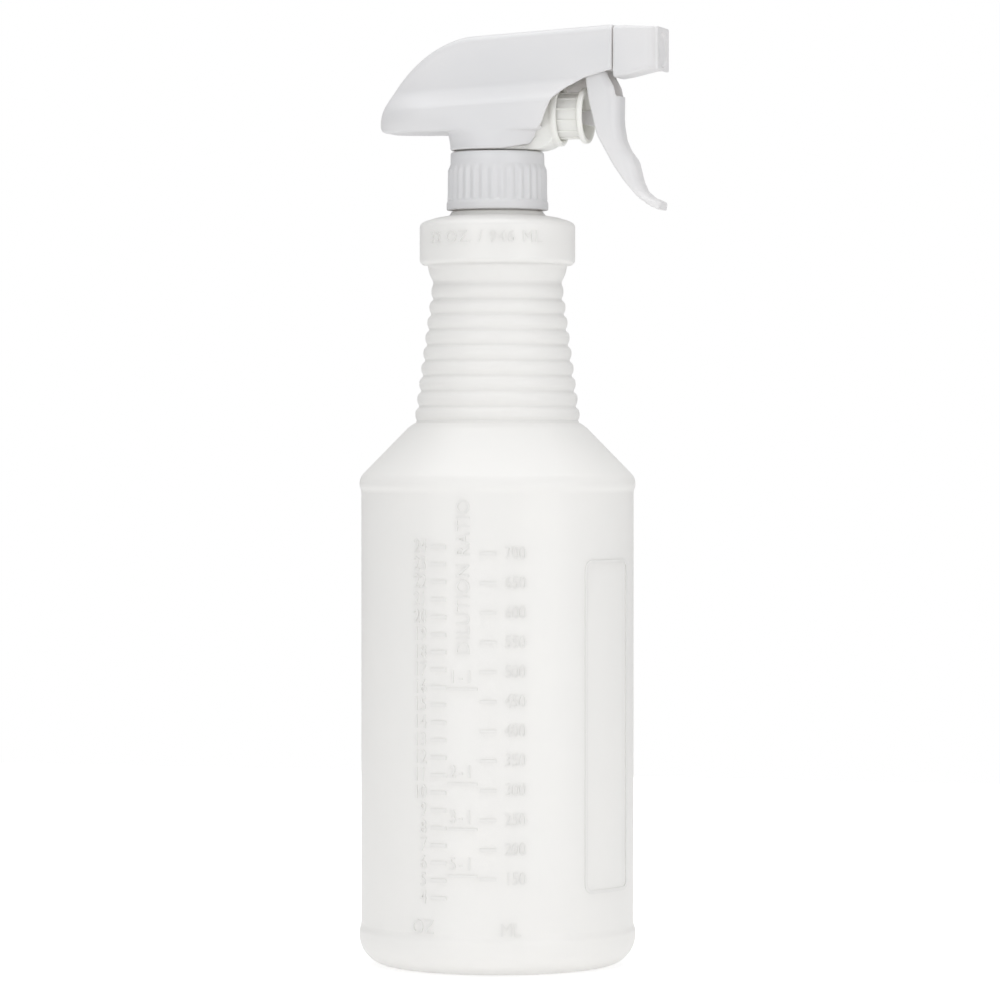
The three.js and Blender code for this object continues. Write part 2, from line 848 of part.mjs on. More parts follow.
function trigger() {
  const { half, wall } = TRIGGER;
  const whole = join(
    plateY(cheekOutline(), -half, -half + wall),
    plateY(cheekOutline(), half - wall, half),
    fingerWeb(),
    triggerNose(),
  );
  return cut(whole, rodY(PIVOT.pin + FIT, -half - 1, half + 1, PIVOT.x, PIVOT.z));
}

// ------------------------------------------------------------------------- the nozzle

// A square with rounded corners, from its middle height and half sizes.
function nozzleSection(x, middle, halfWidth, halfHeight, corner) {
  const points = [];
  const corners = [
    [1, 1],
    [-1, 1],
    [-1, -1],
    [1, -1],
  ];
  corners.forEach(([side, level], quarter) => {
    for (let i = 0; i <= 3; i += 1) {
      const angle = (quarter + i / 3) * (Math.PI / 2);
      const y = side * (halfWidth - corner) + corner * Math.cos(angle);
      const z = level * (halfHeight - corner) + corner * Math.sin(angle);
      points.push(new THREE.Vector3(x, y, middle + z));
    }
  });
  return points;
}

function nozzle() {
  const n = NOZZLE;
  const hull = loft([
    nozzleSection(n.rear, 287.4, 6.5, 7.5, 2.4),
    nozzleSection(n.rear + 0.8, 287.4, 7.0, 8.1, 2.2),
    nozzleSection(n.rear + 4, 287.7, 6.9, 7.8, 1.6),
    nozzleSection(n.front - 2.4, 288.3, 6.5, 6.7, 1.2),
    nozzleSection(n.front - 0.8, 288.1, 6.9, 6.8, 0.7),
    nozzleSection(n.front, 288.1, 6.9, 6.8, 0.7),
  ]);
  const seat = DISCHARGE.front + n.seatDepth;
  const socket = turnX(
    [
      [0, n.rear - 1],
      [n.lip, n.rear - 1],
      [n.lip, n.rear + 1.8],
      [n.socket, n.rear + 2.6],
      [n.socket, seat],
      [0, seat],
    ],
    DISCHARGE.z,
  );
  const recess = turnX(
    [
      [0, seat - 1],
      [0.45, seat - 1],
      [0.45, seat + 1.6],
      [3.2, n.front - 0.8],
      [4.5, n.front - 0.8],
      [4.5, n.front + 1],
      [0, n.front + 1],
    ],
    DISCHARGE.z,
  );
  return cut(hull, socket, recess);
}

// The swirl insert in the mouth of the discharge barrel, with a shoulder the nozzle turns on.
const spinner = () =>
  cut(
    turnX(
      [
        [0, DISCHARGE.front - 5],
        [DISCHARGE.bore - FIT, DISCHARGE.front - 5],
        [DISCHARGE.bore - FIT, DISCHARGE.front + FIT],
        [2.9, DISCHARGE.front + FIT],
        [2.9, DISCHARGE.front + 1.3],
        [0, DISCHARGE.front + 1.3],
      ],
      DISCHARGE.z,
      16,
    ),
    block(DISCHARGE.front - 6, DISCHARGE.front + 0.9, 1.1, 2, DISCHARGE.z - 0.5, DISCHARGE.z + 0.5),
    block(DISCHARGE.front - 6, DISCHARGE.front + 0.9, -2, -1.1, DISCHARGE.z - 0.5, DISCHARGE.z + 0.5),
  );

const nozzleSeal = () =>
  turnX(
    [
      [3.15, DISCHARGE.front + 1.7],
      [NOZZLE.socket - FIT, DISCHARGE.front + 1.7],
      [NOZZLE.socket - FIT, DISCHARGE.front + 3],
      [3.15, DISCHARGE.front + 3],
    ],
    DISCHARGE.z,
    16,
  );

// ----------------------------------------------------------------------- the assembly

const sprayBottle = new THREE.Group();
sprayBottle.add(
  node('bottle', bottle(), naturalHdpe()),
  node('closure', closure(), whitePolypropylene()),
  node('closure_gasket', closureGasket(), paleElastomer()),
  node('tube_retainer', tubeRetainer(), whitePolypropylene()),
  node('dip_tube', dipTube(), naturalHdpe()),
  node('inlet_ball', ball(BALL.inletRadius, 0, BALL.inletZ), glass()),
  node('sprayer_body', sprayerBody(), whitePolypropylene()),
  node('channel_plug', channelPlug(), whitePolypropylene()),
  node('discharge_ball', ball(BALL.outletRadius, DISCHARGE.riserX, BALL.outletZ), glass()),
  node('piston', piston(), whitePolypropylene()),
  node('piston_seal', sealRing(PISTON.rear + 0.4, PISTON.rear + 2.6), paleElastomer()),
  node('vent_seal', sealRing(14.3, 16.1), paleElastomer()),
  node('return_spring', returnSpring(), springSteel()),
  node('shroud', shroud(), whitePolypropylene()),
  node('trigger', trigger(), whitePolypropylene()),
  node('spinner', spinner(), whitePolypropylene()),
  node('nozzle', nozzle(), whitePolypropylene()),
  node('nozzle_seal', nozzleSeal(), paleElastomer()),
);

export default sprayBottle;
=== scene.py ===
"""A trigger spray bottle, built piece by piece over its CAD frame.

Shapes are modelled in millimetres and scaled to metres when a piece is finished. The
origin is the centre of the base, +Z is up and the nozzle points to +X.
"""

import math

import bmesh
import bpy
from bpy.props import FloatProperty, FloatVectorProperty, IntProperty, PointerProperty
from mathutils import Matrix, Vector


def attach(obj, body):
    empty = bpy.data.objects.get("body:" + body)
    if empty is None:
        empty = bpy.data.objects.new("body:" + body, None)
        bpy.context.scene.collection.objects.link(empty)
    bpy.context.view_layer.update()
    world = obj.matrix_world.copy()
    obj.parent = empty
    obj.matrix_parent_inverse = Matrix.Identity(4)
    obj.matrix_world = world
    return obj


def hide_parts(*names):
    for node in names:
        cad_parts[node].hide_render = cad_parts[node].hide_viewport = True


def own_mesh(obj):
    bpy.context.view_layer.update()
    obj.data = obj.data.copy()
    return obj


bl_info = {
    "name": "Trigger Spray Bottle",
    "version": (1, 0, 0),
    "blender": (4, 5, 0),
    "location": "View3D > Sidebar > Spray Bottle",
    "description": "Makes the bottle, closure, sprayer and stage of a trigger spray bottle",
    "category": "Add Mesh",
}

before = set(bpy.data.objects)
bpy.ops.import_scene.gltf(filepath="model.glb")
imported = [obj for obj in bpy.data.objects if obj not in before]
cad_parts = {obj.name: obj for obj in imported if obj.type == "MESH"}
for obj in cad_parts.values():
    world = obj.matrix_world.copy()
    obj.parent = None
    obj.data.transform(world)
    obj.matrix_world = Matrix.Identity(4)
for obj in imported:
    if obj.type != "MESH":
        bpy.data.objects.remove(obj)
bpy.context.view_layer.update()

MM = 0.001
PUMP_Z = 267.8  # height of the pump cylinder's axis
BARREL_Z = 287.5  # height of the discharge barrel's axis
SHROUD_REAR = -38.4
FULL_TURN = 2 * math.pi
FRONT_ANGLE = math.radians(-73)  # the side of the bottle that carries the scales faces this way

# ---------------------------------------------------------------------------- sizes and colours


def length(name, description, millimetres):
    """A size that a user may change, with its default in millimetres."""
    return FloatProperty(name=name, description=description, default=millimetres * MM, min=0.0, unit="LENGTH")


def colour(name, description, value):
    """A linear colour that a user may change."""
    return FloatVectorProperty(
        name=name, description=description, default=value, size=3, min=0.0, max=1.0, subtype="COLOR"
    )


class BottleSizes(bpy.types.PropertyGroup):
    """Sizes of the blow-moulded bottle."""

    body_radius: length("Body radius", "Outside radius of the straight wall", 43.1)
    ridge_radius: length("Ridge radius", "Outside radius of the heel and the shoulder ridge", 43.7)
    wall: length("Wall", "Thickness of the bottle's wall", 1.0)
    base_recess: length("Base recess", "How far the middle of the base is pushed up", 0.8)
    ring_pitch: length("Ring pitch", "Height of one grip ring", 4.84)
    ring_depth: length("Ring depth", "Depth of the grooves between grip rings", 0.8)
    ring_count: IntProperty(name="Rings", description="Number of grip rings", default=9, min=1, max=12)
    collar_radius: length("Collar radius", "Outside radius of the hollow collar", 24.6)
    mark_height: length("Mark height", "How far the moulded scales stand out", 0.3)


class ClosureSizes(bpy.types.PropertyGroup):
    """Sizes of the screw closure."""

    rim_radius: length("Rim radius", "Outside radius of the lower rim", 16.1)
    wall_radius: length("Wall radius", "Radius between the flutes", 15.15)
    flute_height: length("Flute height", "How far a flute stands out", 0.62)
    flutes: IntProperty(name="Flutes", description="Number of grip flutes", default=32, min=8, max=60)


class SprayerSizes(bpy.types.PropertyGroup):
    """Sizes of the sprayer's shroud, trigger and nozzle."""

    shroud_wall: length("Shroud wall", "Wall thickness of the shroud", 1.4)
    upper_half: length("Upper half width", "Half width of the shroud's flat sides", 8.4)
    lower_half: length("Lower half width", "Half width of the shroud at its widest", 14.6)
    trigger_half: length("Trigger half width", "Half width of the trigger", 6.2)
    pump_bore: length("Pump bore", "Bore radius of the pump cylinder", 7.9)
    spring_radius: length("Spring radius", "Radius of the return spring's coils", 4.7)


class Finishes(bpy.types.PropertyGroup):
    """Colours of the plastics, the steel and the stage."""

    natural: colour("Natural plastic", "Colour of the translucent bottle", (0.897, 0.889, 0.872))
    white: colour("White plastic", "Colour of the sprayer's outer pieces", (0.765, 0.772, 0.787))
    # Lighter than the outer white, so that the pump's pieces still look light in the shade under the shroud: painted
    # light.
    inner_white: colour("Inner white plastic", "Colour of the pump's pieces", (0.9, 0.9, 0.885))
    seal: colour("Seal", "Colour of the soft rings", (0.66, 0.64, 0.58))
    steel: colour("Spring steel", "Colour of the return spring", (0.56, 0.57, 0.58))
    floor: colour("Floor", "Colour of the stage's floor", (0.6, 0.6, 0.6))


# ------------------------------------------------------------------------------------ materials


class Number:
    """A value inside a material, so that maths on it is written as an expression."""

    def __init__(self, recipe, socket):
        self.recipe, self.socket = recipe, socket

    def maths(self, operation, *values):
        inputs = dict(enumerate(values))
        return self.recipe.node("ShaderNodeMath", {"operation": operation}, inputs).number()

    def __add__(self, other):
        return self.maths("ADD", self, other)

    def __radd__(self, other):
        return self.maths("ADD", other, self)

    def __sub__(self, other):
        return self.maths("SUBTRACT", self, other)

    def __rsub__(self, other):
        return self.maths("SUBTRACT", other, self)

    def __mul__(self, other):
        return self.maths("MULTIPLY", self, other)

    def __rmul__(self, other):
        return self.maths("MULTIPLY", other, self)

    def __pow__(self, other):
        return self.maths("POWER", self, other)


class Made:
    """A node just made, and its outputs."""

    def __init__(self, recipe, node):
        self.recipe, self.bare = recipe, node

    def out(self, key=0):
        return self.bare.outputs[key]

    def number(self, key=0):
        return Number(self.recipe, self.out(key))


class Recipe:
    """The nodes of one material or world."""

    def __init__(self, owner):
        owner.use_nodes = True
        self.owner, self.tree = owner, owner.node_tree
        self.tree.nodes.clear()

    def node(self, kind, settings=None, inputs=None):
        """Makes a node: its settings come first, then each socket gets a value or a link."""
        node = self.tree.nodes.new(kind)
        for key, value in (settings or {}).items():
            if key == "stops":
                ramp = node.color_ramp
                for index, (place, shade) in enumerate(value):
                    stop = ramp.elements[index] if index < 2 else ramp.elements.new(place)
                    stop.position, stop.color = place, (*shade, 1.0)
            else:
                setattr(node, key, value)
        for key, value in (inputs or {}).items():
            source = value.socket if isinstance(value, Number) else value
            if isinstance(source, bpy.types.NodeSocket):
                self.tree.links.new(source, node.inputs[key])
            else:
                node.inputs[key].default_value = source
        return Made(self, node)

    def noise(self, place, scale, detail=2.0, stretch=None):
        """Noise over the object's own coordinates; stretch squeezes the pattern along an axis."""
        if stretch:
            place = self.node("ShaderNodeMapping", None, {"Vector": place, "Scale": stretch}).out()
        made = self.node("ShaderNodeTexNoise", None, {"Vector": place, "Scale": scale, "Detail": detail})
        return made.number("Fac" if "Fac" in made.bare.outputs else 0)

    def tinted(self, first, second, share):
        """A colour between two."""
        settings = {"data_type": "RGBA"}
        made = self.node("ShaderNodeMix", settings, {0: share, 6: (*first, 1.0), 7: (*second, 1.0)})
        return made.out(2)

    def finish(self, surface):
        kind = "ShaderNodeOutputWorld" if isinstance(self.owner, bpy.types.World) else "ShaderNodeOutputMaterial"
        self.node(kind, None, {"Surface": surface})
        return self.owner


def shade(value, factor, warmth=0.0):
    """A colour made lighter or darker, and a little warmer or cooler."""
    red, green, blue = (min(1.0, part * factor) for part in value)
    return (min(1.0, red + warmth), green, max(0.0, blue - warmth))


def natural_plastic(value):
    """Hazy blow-moulded plastic: soft clouds of wall thickness, faint flow lines down the wall, and a painted shade on
    the raised scales.
    """
    recipe = Recipe(bpy.data.materials.new("natural_hdpe"))
    place = recipe.node("ShaderNodeTexCoord").out("Object")
    clouds = recipe.noise(place, 38.0, 2.0)
    flow = recipe.noise(place, 260.0, 2.0, (1.0, 1.0, 0.08))
    grain = recipe.noise(place, 1500.0, 3.0)
    wall = recipe.tinted(shade(value, 0.985, -0.002), shade(value, 1.015, 0.006), clouds * 0.7 + flow * 0.3)
    # The raised scales get a darker base colour: painted shade standing in for the shading of their relief.
    raised = recipe.node("ShaderNodeAttribute", {"attribute_name": "raised"}).out("Fac")
    marks_painted_shade = recipe.node("ShaderNodeMix", {"data_type": "RGBA"}, {0: raised, 6: wall, 7: (*shade(value, 0.935), 1.0)})
    tone = marks_painted_shade.out(2)
    relief = recipe.node(
        "ShaderNodeBump", None, {"Strength": 0.22, "Distance": 0.0002, "Height": grain * 0.35 + flow * 0.65}
    ).out()
    body = recipe.node(
        "ShaderNodeBsdfPrincipled",
        None,
        {"Base Color": tone, "Roughness": 0.33 + grain * 0.1, "IOR": 1.54, "Normal": relief},
    ).out()
    glow = recipe.node("ShaderNodeBsdfTranslucent", None, {"Color": (*shade(value, 1.06), 1.0)}).out()
    return recipe.finish(recipe.node("ShaderNodeMixShader", None, {0: 0.3, 1: body, 2: glow}).out())


def moulded_plastic(name, value, roughness=0.34, warmth=0.004, see_through=0.26):
    """Moulded plastic with a fine satin grain and uneven sheen; thin walls let a little light through."""
    recipe = Recipe(bpy.data.materials.new(name))
    place = recipe.node("ShaderNodeTexCoord").out("Object")
    clouds = recipe.noise(place, 70.0, 2.0)
    grain = recipe.noise(place, 2600.0, 3.0)
    sheen = recipe.noise(place, 420.0, 2.0)
    tone = recipe.tinted(shade(value, 0.985), shade(value, 1.015, warmth), clouds * 0.8 + grain * 0.2)
    relief = recipe.node(
        "ShaderNodeBump", None, {"Strength": 0.14, "Distance": 0.0001, "Height": grain * 0.5 + sheen * 0.5}
    ).out()
    body = recipe.node(
        "ShaderNodeBsdfPrincipled",
        None,
        {
            "Base Color": tone,
            "Roughness": (roughness - 0.05) + grain * 0.06 + sheen * 0.05,
            "IOR": 1.49,
            "Normal": relief,
        },
    ).out()
    glow = recipe.node("ShaderNodeBsdfTranslucent", None, {"Color": (*shade(value, 1.12, 0.07), 1.0)}).out()
    return recipe.finish(recipe.node("ShaderNodeMixShader", None, {0: see_through, 1: body, 2: glow}).out())


def drawn_steel(value):
    """Spring wire: fine lines drawn along it and a few duller patches."""
    recipe = Recipe(bpy.data.materials.new("spring_steel"))
    place = recipe.node("ShaderNodeTexCoord").out("Object")
    lines = recipe.noise(place, 2400.0, 2.0, (0.25, 1.0, 1.0))
    patches = recipe.noise(place, 180.0, 2.0)
    tone = recipe.tinted(shade(value, 0.85), shade(value, 1.1), patches)
    relief = recipe.node("ShaderNodeBump", None, {"Strength": 0.2, "Distance": 0.00005, "Height": lines}).out()
    inputs = {"Base Color": tone, "Metallic": 1.0, "Roughness": 0.22 + patches * 0.15, "Normal": relief}
    return recipe.finish(recipe.node("ShaderNodeBsdfPrincipled", None, inputs).out())


def ball_glass():
    """Ground glass of the valve balls: pale, glossy, with faint grinding marks."""
    recipe = Recipe(bpy.data.materials.new("glass_ball"))
    place = recipe.node("ShaderNodeTexCoord").out("Object")
    marks = recipe.noise(place, 900.0, 3.0)
    tone = recipe.tinted((0.68, 0.76, 0.77), (0.8, 0.86, 0.87), marks)
    inputs = {"Base Color": tone, "Roughness": 0.06 + marks * 0.08, "IOR": 1.52, "Coat Weight": 0.6}
    return recipe.finish(recipe.node("ShaderNodeBsdfPrincipled", None, inputs).out())


def finish_for(slot):
    """The material of one of the record's finish slots, made once."""
    if slot in bpy.data.materials and bpy.data.materials[slot].get("made_here"):
        return bpy.data.materials[slot]
    colours = bpy.context.scene.spray_finishes
    for taken in [found for found in bpy.data.materials if found.name == slot]:
        taken.name = slot + "_plain"
    made = {
        "natural_hdpe": lambda: natural_plastic(colours.natural),
        "white_pp": lambda: moulded_plastic("white_pp", colours.white),
        # The pump's pieces take the lightened inner white, painted light against the shade under the shroud.
        "white_pp_inner": lambda: moulded_plastic("white_pp_inner", colours.inner_white, 0.4, 0.006, 0.28),
        "seal": lambda: moulded_plastic("seal", colours.seal, 0.55, 0.01),
        "spring_steel": lambda: drawn_steel(colours.steel),
        "glass_ball": ball_glass,
    }[slot]()
    made["made_here"] = True
    return made


# ------------------------------------------------------------------------------- shape building


def round_corners(bm, corners, sizes):
    """Rounds an outline's corners; a larger rounding gets more segments."""
    for size in sorted({size for size in sizes if size}):
        chosen = [corner for corner, own in zip(corners, sizes) if own == size]
        bmesh.ops.bevel(
            bm,
            geom=chosen,
            offset=size,
            offset_type="OFFSET",
            segments=max(3, min(16, round(size * 2) + 2)),
            profile=0.5,
            affect="VERTICES",
            material=-1,
            clamp_overlap=True,
        )


def turned(outline, axis="Z", height=0.0, steps=96):
    """A closed shape turned from an outline of (radius, along, rounding) points."""
    bm = bmesh.new()
    corners = [bm.verts.new((radius, 0, along)) for radius, along, _ in outline]
    bm.faces.new(corners)
    round_corners(bm, corners, [size for _, _, size in outline])
    on_axis = [edge for edge in bm.edges if all(abs(vert.co.x) < 1e-6 for vert in edge.verts)]
    bmesh.ops.delete(bm, geom=list(bm.faces), context="FACES_ONLY")
    bmesh.ops.delete(bm, geom=on_axis, context="EDGES")
    bmesh.ops.spin(
        bm,
        geom=bm.verts[:] + bm.edges[:],
        cent=(0, 0, 0),
        axis=(0, 0, 1),
        dvec=(0, 0, 0),
        angle=FULL_TURN,
        steps=steps,
        use_merge=True,
    )
    bmesh.ops.remove_doubles(bm, verts=bm.verts, dist=1e-4)
    bmesh.ops.recalc_face_normals(bm, faces=bm.faces)
    if axis == "X":
        bmesh.ops.rotate(bm, verts=bm.verts, cent=(0, 0, 0), matrix=Matrix.Rotation(math.pi / 2, 3, "Y"))
    if axis == "Y":
        bmesh.ops.rotate(bm, verts=bm.verts, cent=(0, 0, 0), matrix=Matrix.Rotation(-math.pi / 2, 3, "X"))
    bmesh.ops.translate(bm, verts=bm.verts, vec=(0, 0, height))
    return bm


def rod(radius, start, end, axis="Z", at=(0, 0, 0), steps=48, rounding=0.0):
    """A plain round bar, used to join or cut."""
    outline = [(0, start, 0), (radius, start, rounding), (radius, end, rounding), (0, end, 0)]
    bm = turned(outline, axis, 0.0, steps)
    bmesh.ops.translate(bm, verts=bm.verts, vec=at)
    return bm


def block(low, high):
    """A box between two corners, used to join or cut."""
    bm = bmesh.new()
    middle = (Vector(low) + Vector(high)) / 2
    size = Vector(high) - Vector(low)
    bmesh.ops.create_cube(bm, size=1.0, matrix=Matrix.Translation(middle) @ Matrix.Diagonal((*size, 1.0)))
    return bm


def plate(outline, low, high, corner=0.0, rim=0.0):
    """A side view, a list of (x, z) points, carried from y = low to y = high."""
    bm = bmesh.new()
    corners = [bm.verts.new((x, low, z)) for x, z in outline]
    bm.faces.new(corners)
    if corner:
        round_corners(bm, corners, [corner] * len(corners))
    grown = bmesh.ops.extrude_face_region(bm, geom=bm.faces[:])["geom"]
    far = [item for item in grown if isinstance(item, bmesh.types.BMVert)]
    bmesh.ops.translate(bm, verts=far, vec=(0, high - low, 0))
    bmesh.ops.recalc_face_normals(bm, faces=bm.faces)
    if rim:
        rims = [edge for edge in bm.edges if abs(edge.verts[0].co.y - edge.verts[1].co.y) < 1e-6]
        bmesh.ops.bevel(
            bm, geom=rims, offset=rim, segments=3, profile=0.5, affect="EDGES", material=-1, clamp_overlap=True
        )
    return bm


def lofted(rings):
    """Joins a row of rings with faces and closes both ends."""
    bm = bmesh.new()
    loops = []
    for ring in rings:
        verts = [bm.verts.new(point) for point in ring]
        loops.append([bm.edges.new(pair) for pair in zip(verts, verts[1:] + verts[:1])])
    for one, following in zip(loops, loops[1:]):
        bmesh.ops.bridge_loops(bm, edges=one + following)
    for end in (loops[0], loops[-1]):
        bmesh.ops.edgeloop_fill(bm, edges=end)
    bmesh.ops.recalc_face_normals(bm, faces=bm.faces)
    return bm


def gather(*shapes):
    """Puts several closed shapes into one."""
    whole = shapes[0]
    for other in shapes[1:]:
        carrier = bpy.data.meshes.new("carrier")
        other.to_mesh(carrier)
        other.free()
        whole.from_mesh(carrier)
        bpy.data.meshes.remove(carrier)
    return whole


def working_object(bm):
    """A shape as an object for the time that modifiers need it."""
    mesh = bpy.data.meshes.new("working")
    bm.to_mesh(mesh)
    bm.free()
    made = bpy.data.objects.new("working", mesh)
    bpy.context.scene.collection.objects.link(made)
    return made


def drop(*objects):
    """Removes working objects and their meshes."""
    for made in objects:
        data = made.data
        bpy.data.objects.remove(made)
        if isinstance(data, bpy.types.Mesh):
            bpy.data.meshes.remove(data)
        else:
            bpy.data.curves.remove(data)


def as_shape(made):
    """What an object looks like with its modifiers, as a new shape."""
    mesh = bpy.data.meshes.new_from_object(made.evaluated_get(bpy.context.evaluated_depsgraph_get()))
    bm = bmesh.new()
    bm.from_mesh(mesh)
    bpy.data.meshes.remove(mesh)
    return bm


def carved(first, changes, voxel=0.0, softening=0):
    """Joins and cuts closed shapes in order, then, when a voxel size or softening is given, rounds every edge a
    little, as a mould does.
    """
    whole = working_object(first)
    tools = []
    for operation, bm in changes:
        tool = working_object(bm)
        tools.append(tool)
        step = whole.modifiers.new("carve", "BOOLEAN")
        step.operation, step.solver, step.object = operation, "EXACT", tool
    if voxel:
        step = whole.modifiers.new("even", "REMESH")
        step.mode, step.voxel_size = "VOXEL", voxel
    if softening:
        step = whole.modifiers.new("soften", "SMOOTH")
        step.factor, step.iterations = 0.5, softening
    bm = as_shape(whole)
    drop(whole, *tools)
    if not bm.faces:
        raise RuntimeError("carving left nothing")
    return bm


def finish_piece(name, bm, body, slot, stands_for=(), even_normals=True, crisp=False):
    """Scales a shape to metres and makes it a piece that rides on a body."""
    bmesh.ops.scale(bm, vec=(MM, MM, MM), verts=bm.verts)
    mesh = bpy.data.meshes.new(name)
    bm.to_mesh(mesh)
    bm.free()
    mesh.shade_smooth()
    if crisp:
        mesh.set_sharp_from_angle(angle=math.radians(35))
    mesh.materials.append(finish_for(slot))
    made = bpy.data.objects.new(name, mesh)
    bpy.context.scene.collection.objects.link(made)
    if even_normals:
        step = made.modifiers.new("even_normals", "WEIGHTED_NORMAL")
        step.weight, step.keep_sharp = 50, True
    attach(made, body)
    if stands_for:
        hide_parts(*stands_for)
    return made


def thread_ridge(root, crest, start, turns, first_turn=0.0, pitch=3.175):
    """A right-hand thread ridge, fading out at both ends."""
    bm = bmesh.new()
    section = [(root, -0.85), (crest, -0.4), (crest, 0.4), (root, 0.85)]
    bm.faces.new([bm.verts.new((radius, 0, start + first_turn * pitch + along)) for radius, along in section])
    steps = round(turns * 48)
    bmesh.ops.spin(
        bm,
        geom=bm.verts[:] + bm.edges[:] + bm.faces[:],
        cent=(0, 0, 0),
        axis=(0, 0, 1),
        dvec=(0, 0, turns * pitch / steps),
        angle=turns * FULL_TURN,
        steps=steps,
    )
    low = start + first_turn * pitch
    for vert in bm.verts:
        along = (vert.co.z - low) / pitch
        fade = max(0.05, min(1.0, (along + 0.1) / 0.15, (turns + 0.1 - along) / 0.15))
        radius = math.hypot(vert.co.x, vert.co.y)
        wanted = root + (radius - root) * fade
        vert.co.x, vert.co.y = vert.co.x * wanted / radius, vert.co.y * wanted / radius
    bmesh.ops.recalc_face_normals(bm, faces=bm.faces)
    turn = Matrix.Rotation(first_turn * FULL_TURN, 3, "Z")
    bmesh.ops.rotate(bm, verts=bm.verts, cent=(0, 0, 0), matrix=turn)
    return bm


# ----------------------------------------------------------------------------------- the bottle


def bottle_outline(sizes):
    """The bottle's outside from the base up, then its inside back down."""
    body, ridge, wall = sizes.body_radius / MM, sizes.ridge_radius / MM, sizes.wall / MM
    pitch, depth, count = sizes.ring_pitch / MM, sizes.ring_depth / MM, sizes.ring_count
    collar, recess = sizes.collar_radius / MM, sizes.base_recess / MM
    top_peak, top_radius, taper = 212.7, 20.9, 0.132
    outside = [
        (0, recess, 0),
        (30.0, recess, 1.0),
        (31.5, 0, 0.8),
        (ridge, 0, 9.2),
        (ridge, 11.1, 0.6),
        (body, 12.5, 0.8),
        (body, 149.9, 0.8),
        (ridge, 151.4, 0.6),
        (ridge - 0.1, 154.0, 1.6),
        (27.6, 170.4, 1.6),
    ]
    for ring in range(count - 1, -1, -1):
        peak = top_peak - ring * pitch
        radius = top_radius + taper * ring * pitch
        outside += [
            (radius - depth, peak - pitch * 0.5, 0.55),
            (radius, peak - pitch * 0.24, 0.85),
            (radius, peak + pitch * 0.24, 0.85),
        ]
    outside += [
        (top_radius - depth, top_peak + pitch * 0.55, 0.8),
        (21.6, 218.4, 1.2),
        (22.1, 221.1, 0),
        (collar - 1.0, 221.1, 0),
        (collar, 222.1, 0.6),
        (collar, 233.9, 0.9),
        (collar - 1.6, 234.9, 0.5),
        (19.4, 236.0, 1.0),
        (15.3, 236.7, 0.3),
        (14.4, 238.0, 0.3),
        (12.6, 238.0, 0.2),
        (12.6, 252.9, 0.3),
    ]
    inside = [
        (10.9, 252.9, 0.3),
        (10.9, 233.7, 0.3),
        (collar - 2.2, 233.7, 0.6),
        (collar - 1.2, 232.7, 0.6),
        (collar - 1.2, 222.3, 0.3),
        (20.8, 222.3, 0.3),
        (20.6, 218.6, 0.8),
        (top_radius - depth - wall, 215.1, 0.8),
        (25.6, 171.0, 2.0),
        (40.5, 155.9, 2.0),
        (body - wall, 150.0, 1.0),
        (body - wall, 1.4 + recess * 0.5, 8.0),
        (30.0, 1.4 + recess * 0.5, 1.0),
        (0, 1.4 + recess * 0.5, 0),
    ]
    return outside + inside


def wrapped(bm, radius, height=0.0):
    """Bends a flat drawing in X and Z, standing out along -Y, round an upright cylinder."""
    for vert in bm.verts:
        angle = FRONT_ANGLE + vert.co.x / radius
        out = radius - vert.co.y
        vert.co = (out * math.cos(angle), out * math.sin(angle), vert.co.z + height)
    return bm


def lettering(text, size, x, z, tall, align="CENTER", upward=False, spacing=1.0, narrow=1.0):
    """Raised generic text in the drawing of wrapped()."""
    curve = bpy.data.curves.new("lettering", "FONT")
    curve.body, curve.size, curve.align_x, curve.align_y = text, size, align, "CENTER"
    curve.extrude, curve.resolution_u, curve.space_character = tall / 2, 3, spacing
    made = bpy.data.objects.new("lettering", curve)
    bpy.context.scene.collection.objects.link(made)
    bm = as_shape(made)
    drop(made)
    bmesh.ops.scale(bm, verts=bm.verts, vec=(narrow, 1, 1))
    if upward:
        bmesh.ops.rotate(bm, verts=bm.verts, cent=(0, 0, 0), matrix=Matrix.Rotation(math.pi / 2, 3, "Z"))
    bmesh.ops.rotate(bm, verts=bm.verts, cent=(0, 0, 0), matrix=Matrix.Rotation(math.pi / 2, 3, "X"))
    bmesh.ops.translate(bm, verts=bm.verts, vec=(x, -tall / 2 + 0.1, z))
    return bm


def bar(x0, x1, z, thick, tall):
    """A short raised line in the drawing of wrapped()."""
    bm = block((x0, -tall + 0.1, z - thick / 2), (x1, 0.1, z + thick / 2))
    across = [edge for edge in bm.edges if abs(edge.verts[0].co.x - edge.verts[1].co.x) > 0.5]
    bmesh.ops.subdivide_edges(bm, edges=across, cuts=2, use_grid_fill=True)
    return bm


def panel_frame(x0, x1, z0, z1, corner, width, tall):
    """A raised frame with round corners in the drawing of wrapped()."""
    bm = bmesh.new()
    corners = [bm.verts.new(point) for point in ((x0, 0.1, z0), (x1, 0.1, z0), (x1, 0.1, z1), (x0, 0.1, z1))]
    bm.faces.new(corners)
    round_corners(bm, corners, [corner] * 4)
    bmesh.ops.recalc_face_normals(bm, faces=bm.faces)
    bmesh.ops.inset_region(bm, faces=bm.faces[:], thickness=width, use_boundary=True, use_even_offset=True)
    middle = max(bm.faces, key=lambda face: len(face.verts))
    bmesh.ops.delete(bm, geom=[middle], context="FACES_ONLY")
    across = [edge for edge in bm.edges if abs(edge.verts[0].co.x - edge.verts[1].co.x) > 6]
    bmesh.ops.subdivide_edges(bm, edges=across, cuts=10, use_grid_fill=True)
    grown = bmesh.ops.extrude_face_region(bm, geom=bm.faces[:])["geom"]
    far = [item for item in grown if isinstance(item, bmesh.types.BMVert)]
    bmesh.ops.translate(bm, verts=far, vec=(0, -tall, 0))
    bmesh.ops.recalc_face_normals(bm, faces=bm.faces)
    return bm


